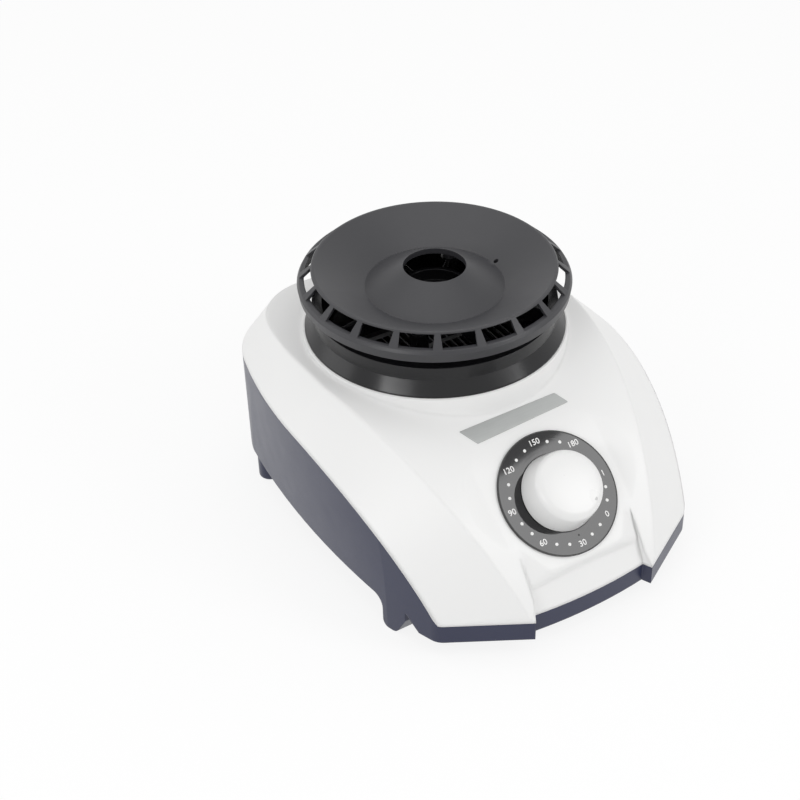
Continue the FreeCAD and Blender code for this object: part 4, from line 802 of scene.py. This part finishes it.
class DRYER_OT_motor(bpy.types.Operator):
    """Finish the fan and its motor"""

    bl_idname = "dryer.motor"
    bl_label = "Fan and motor"

    def execute(self, context):
        plastics = context.scene.dryer.plastics
        metals = context.scene.dryer.metals
        dress(moulded("fan_plastic", plastics.fan, grain=0.0006, depth=0.00003, rough=0.38),
              "fan_impeller")
        dress(turned("motor_steel", metals.steel, rough=0.26, centre=OUTLET_AXIS),
              "motor_can", "motor_end_plate")
        dress(rolled("bracket_steel", metals.steel, rough=0.30, stretch=(0.1, 1.0, 1.0)),
              "motor_bracket")
        dress(turned("shaft_steel", metals.shaft, rough=0.18, centre=OUTLET_AXIS), "motor_shaft")
        dress(turned("bearing_brass", metals.brass, rough=0.25, centre=OUTLET_AXIS),
              "motor_bearings")
        dress(turned("rotor_magnet", metals.magnet, rough=0.42, centre=OUTLET_AXIS), "motor_rotor")
        dress(layered("core_iron", metals.iron, rough=0.38, pitch=0.0005, metallic=1.0,
                      centre=OUTLET_AXIS, stacked=True), "stator_core")
        dress(layered("coil_copper", metals.copper, rough=0.26, pitch=0.00045, metallic=0.9,
                      centre=OUTLET_AXIS, stacked=False), "stator_coils")
        return {"FINISHED"}


class DRYER_OT_heater(bpy.types.Operator):
    """Finish the duct and the heater in it"""

    bl_idname = "dryer.heater"
    bl_label = "Duct and heater"

    def execute(self, context):
        inner = context.scene.dryer.plastics.inner
        metals = context.scene.dryer.metals
        dress(moulded("duct_plastic", inner, grain=0.0007, depth=0.00004, rough=0.48), "air_duct")
        dress(moulded("frame_plastic", inner, grain=0.0004, depth=0.00003, rough=0.55),
              "heater_frame")
        dress(rolled("fin_aluminium", metals.aluminium, rough=0.42, stretch=(0.1, 1.0, 1.0)),
              "heater_fins")
        dress(rolled("bar_aluminium", metals.aluminium, rough=0.30, stretch=(0.06, 1.0, 1.0)),
              "ptc_bars")
        dress(turned("guard_steel", metals.steel, rough=0.26, centre=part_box("thermostat")[0]),
              "thermostat")
        dress(turned("fuse_brass", metals.brass, rough=0.24, centre=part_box("thermal_fuse")[0]),
              "thermal_fuse")
        return {"FINISHED"}


class DRYER_OT_fittings(bpy.types.Operator):
    """Finish the screws, the terminal block and the cord gland"""

    bl_idname = "dryer.fittings"
    bl_label = "Fittings"

    def execute(self, context):
        plastics = context.scene.dryer.plastics
        metals = context.scene.dryer.metals
        dress(rolled("screw_steel", metals.screw, rough=0.24, stretch=(1.0, 1.0, 0.3)),
              "cover_screws", "cap_screws", "bracket_screws", "motor_screws", "timer_screws")
        dress(moulded("block_plastic", plastics.block, grain=0.0005, depth=0.00003, rough=0.42),
              "terminal_block")
        dress(rubber("gland_rubber", plastics.gland), "cord_gland")
        return {"FINISHED"}


def soft_box(name, place, facing, upward, width, height, brightness):
    """A rectangular lamp that faces along a direction, of a given brightness."""
    lamp = bpy.data.lights.new(name, "AREA")
    lamp.shape = "RECTANGLE"
    lamp.size = width
    lamp.size_y = height
    lamp.energy = brightness * math.pi * width * height
    holder = bpy.data.objects.new(name, lamp)
    holder.location = place
    back = -facing.normalized()
    side = upward.cross(back).normalized()
    turn = Matrix((side, back.cross(side), back)).transposed()
    holder.rotation_mode = "QUATERNION"
    holder.rotation_quaternion = turn.to_quaternion()
    bpy.context.scene.collection.objects.link(holder)


def mirror_way(eye, place, normal):
    """Direction in which a flat face at a place shows its surroundings to an eye."""
    seen = (place - eye).normalized()
    return seen - 2.0 * seen.dot(normal) * normal


def seen_or_mirrored(made):
    """1 where the camera sees a thing itself, or in gloss or glass, and 0 for its light."""
    seen, mirrored, through = [
        made.node("ShaderNodeLightPath", None, None, kind)
        for kind in ("Is Camera Ray", "Is Glossy Ray", "Is Transmission Ray")]
    return seen.most(mirrored).most(through)


class Sky(Finish):
    """The world's nodes, written as a finish is."""

    def __init__(self, name):
        self.world = bpy.data.worlds.new(name)
        self.world.use_nodes = True
        self.tree = self.world.node_tree
        self.tree.nodes.clear()
        self.output = self.tree.nodes.new("ShaderNodeOutputWorld")


class DRYER_OT_stage(bpy.types.Operator):
    """Set the camera, the pale floor and the soft light"""

    bl_idname = "dryer.stage"
    bl_label = "Stage"

    def execute(self, context):
        look = context.scene.dryer.stage
        context.scene.view_settings.view_transform = "Standard"
        self.add_camera(context, look)
        self.add_floor(look)
        self.add_light(context, look)
        return {"FINISHED"}

    def add_camera(self, context, look):
        """The camera, turned round its target."""
        data = bpy.data.cameras.new("camera")
        data.sensor_width = 36.0
        data.lens = look.lens
        data.shift_x, data.shift_y = look.shift
        data.clip_start = 0.01
        back = Vector((math.sin(look.azimuth) * math.cos(look.elevation),
                       -math.cos(look.azimuth) * math.cos(look.elevation),
                       math.sin(look.elevation)))
        camera = bpy.data.objects.new("camera", data)
        camera.location = Vector(look.target) + back * look.distance
        camera.rotation_mode = "QUATERNION"
        camera.rotation_quaternion = (-back).to_track_quat("-Z", "Y")
        context.scene.collection.objects.link(camera)
        context.scene.camera = camera

    def add_floor(self, look):
        """A pale floor that looks white, and is clear from below."""
        floor_bm = bmesh.new()
        bmesh.ops.create_grid(floor_bm, x_segments=1, y_segments=1, size=look.floor_size)
        mesh = bpy.data.meshes.new("floor")
        floor_bm.to_mesh(mesh)
        floor_bm.free()
        made = Finish("floor_paper")
        fibre = made.noise(0.004, detail=4.0)
        paper = made.node("ShaderNodeBsdfDiffuse", None, {
            "Color": made.mix(fibre, tinted(look.floor, 0.985), full(look.floor))})
        glow = made.node("ShaderNodeEmission", None, {"Color": WHITE, "Strength": 1.0})
        share = seen_or_mirrored(made) * look.glow
        white = made.node("ShaderNodeMixShader", None, {0: share, 1: paper, 2: glow})
        under = made.node("ShaderNodeNewGeometry", None, None, "Backfacing")
        clear = made.node("ShaderNodeBsdfTransparent")
        made.surface(made.node("ShaderNodeMixShader", None, {0: under, 1: white, 2: clear}))
        mesh.materials.append(made.material)
        floor = bpy.data.objects.new("floor", mesh)
        bpy.context.scene.collection.objects.link(floor)

    def add_light(self, context, look):
        """An even sky, the box that the dial mirrors, two strips and two soft boxes."""
        sky = Sky("sky")
        even = sky.node("ShaderNodeBackground", None, {"Color": WHITE, "Strength": look.sky})
        shown = sky.node("ShaderNodeBackground", None, {"Color": WHITE, "Strength": 1.0})
        sky.surface(sky.node(
            "ShaderNodeMixShader", None, {0: seen_or_mirrored(sky), 1: even, 2: shown}))
        context.scene.world = sky.world
        way = mirror_way(context.scene.camera.location, DIAL_CENTRE, DIAL_UP)
        slope = DIAL_SLOPE * math.cos(look.key_turn) - RIGHT * math.sin(look.key_turn)
        rise = (slope - way * slope.dot(way)).normalized()
        place = DIAL_CENTRE + way * look.key_reach - rise * (look.key_size / 2 - look.key_edge)
        soft_box("key_box", place, -way, rise, look.key_size, look.key_size, look.key)
        for name, brightness, middle, size, upward in (
                ("left_strip", look.left, look.left_place, look.left_size, UPRIGHT),
                ("front_strip", look.front, look.front_place, look.front_size, UPRIGHT),
                ("rear_box", look.rear, look.rear_place, look.rear_size, UPRIGHT),
                ("top_box", look.top, look.top_place, look.top_size, REAR)):
            soft_box(name, middle, -Vector(middle), upward, *size, brightness)


class DRYER_PT_looks(bpy.types.Panel):
    """Lists the dryer's pieces and what can be changed"""

    bl_idname = "DRYER_PT_looks"
    bl_label = "Dryer blower"
    bl_space_type = "VIEW_3D"
    bl_region_type = "UI"
    bl_category = "Dryer"

    def draw(self, context):
        column = self.layout.column()
        for kind in PIECES:
            column.operator(kind.bl_idname)
        for group in DryerLooks.__annotations__:
            part = getattr(context.scene.dryer, group)
            box = self.layout.box()
            for name in part.__annotations__:
                box.prop(part, name)


GROUPS = (
    DryerPlastics,
    DryerMetals,
    DryerDialPrint,
    DryerKnob,
    DryerCap,
    DryerPlate,
    DryerStage,
    DryerLooks,
)
PIECES = (
    DRYER_OT_stage,
    DRYER_OT_housing,
    DRYER_OT_outlet,
    DRYER_OT_dial,
    DRYER_OT_knob,
    DRYER_OT_plate,
    DRYER_OT_timer,
    DRYER_OT_motor,
    DRYER_OT_heater,
    DRYER_OT_fittings,
)
CLASSES = (*GROUPS, *PIECES, DRYER_PT_looks)


def register():
    for kind in CLASSES:
        bpy.utils.register_class(kind)
    bpy.types.Scene.dryer = PointerProperty(type=DryerLooks)


def unregister():
    del bpy.types.Scene.dryer
    for kind in reversed(CLASSES):
        bpy.utils.unregister_class(kind)


def main():
    register()
    for kind in PIECES:
        group, action = kind.bl_idname.split(".")
        getattr(getattr(bpy.ops, group), action)()


if __name__ == "__main__":
    main()
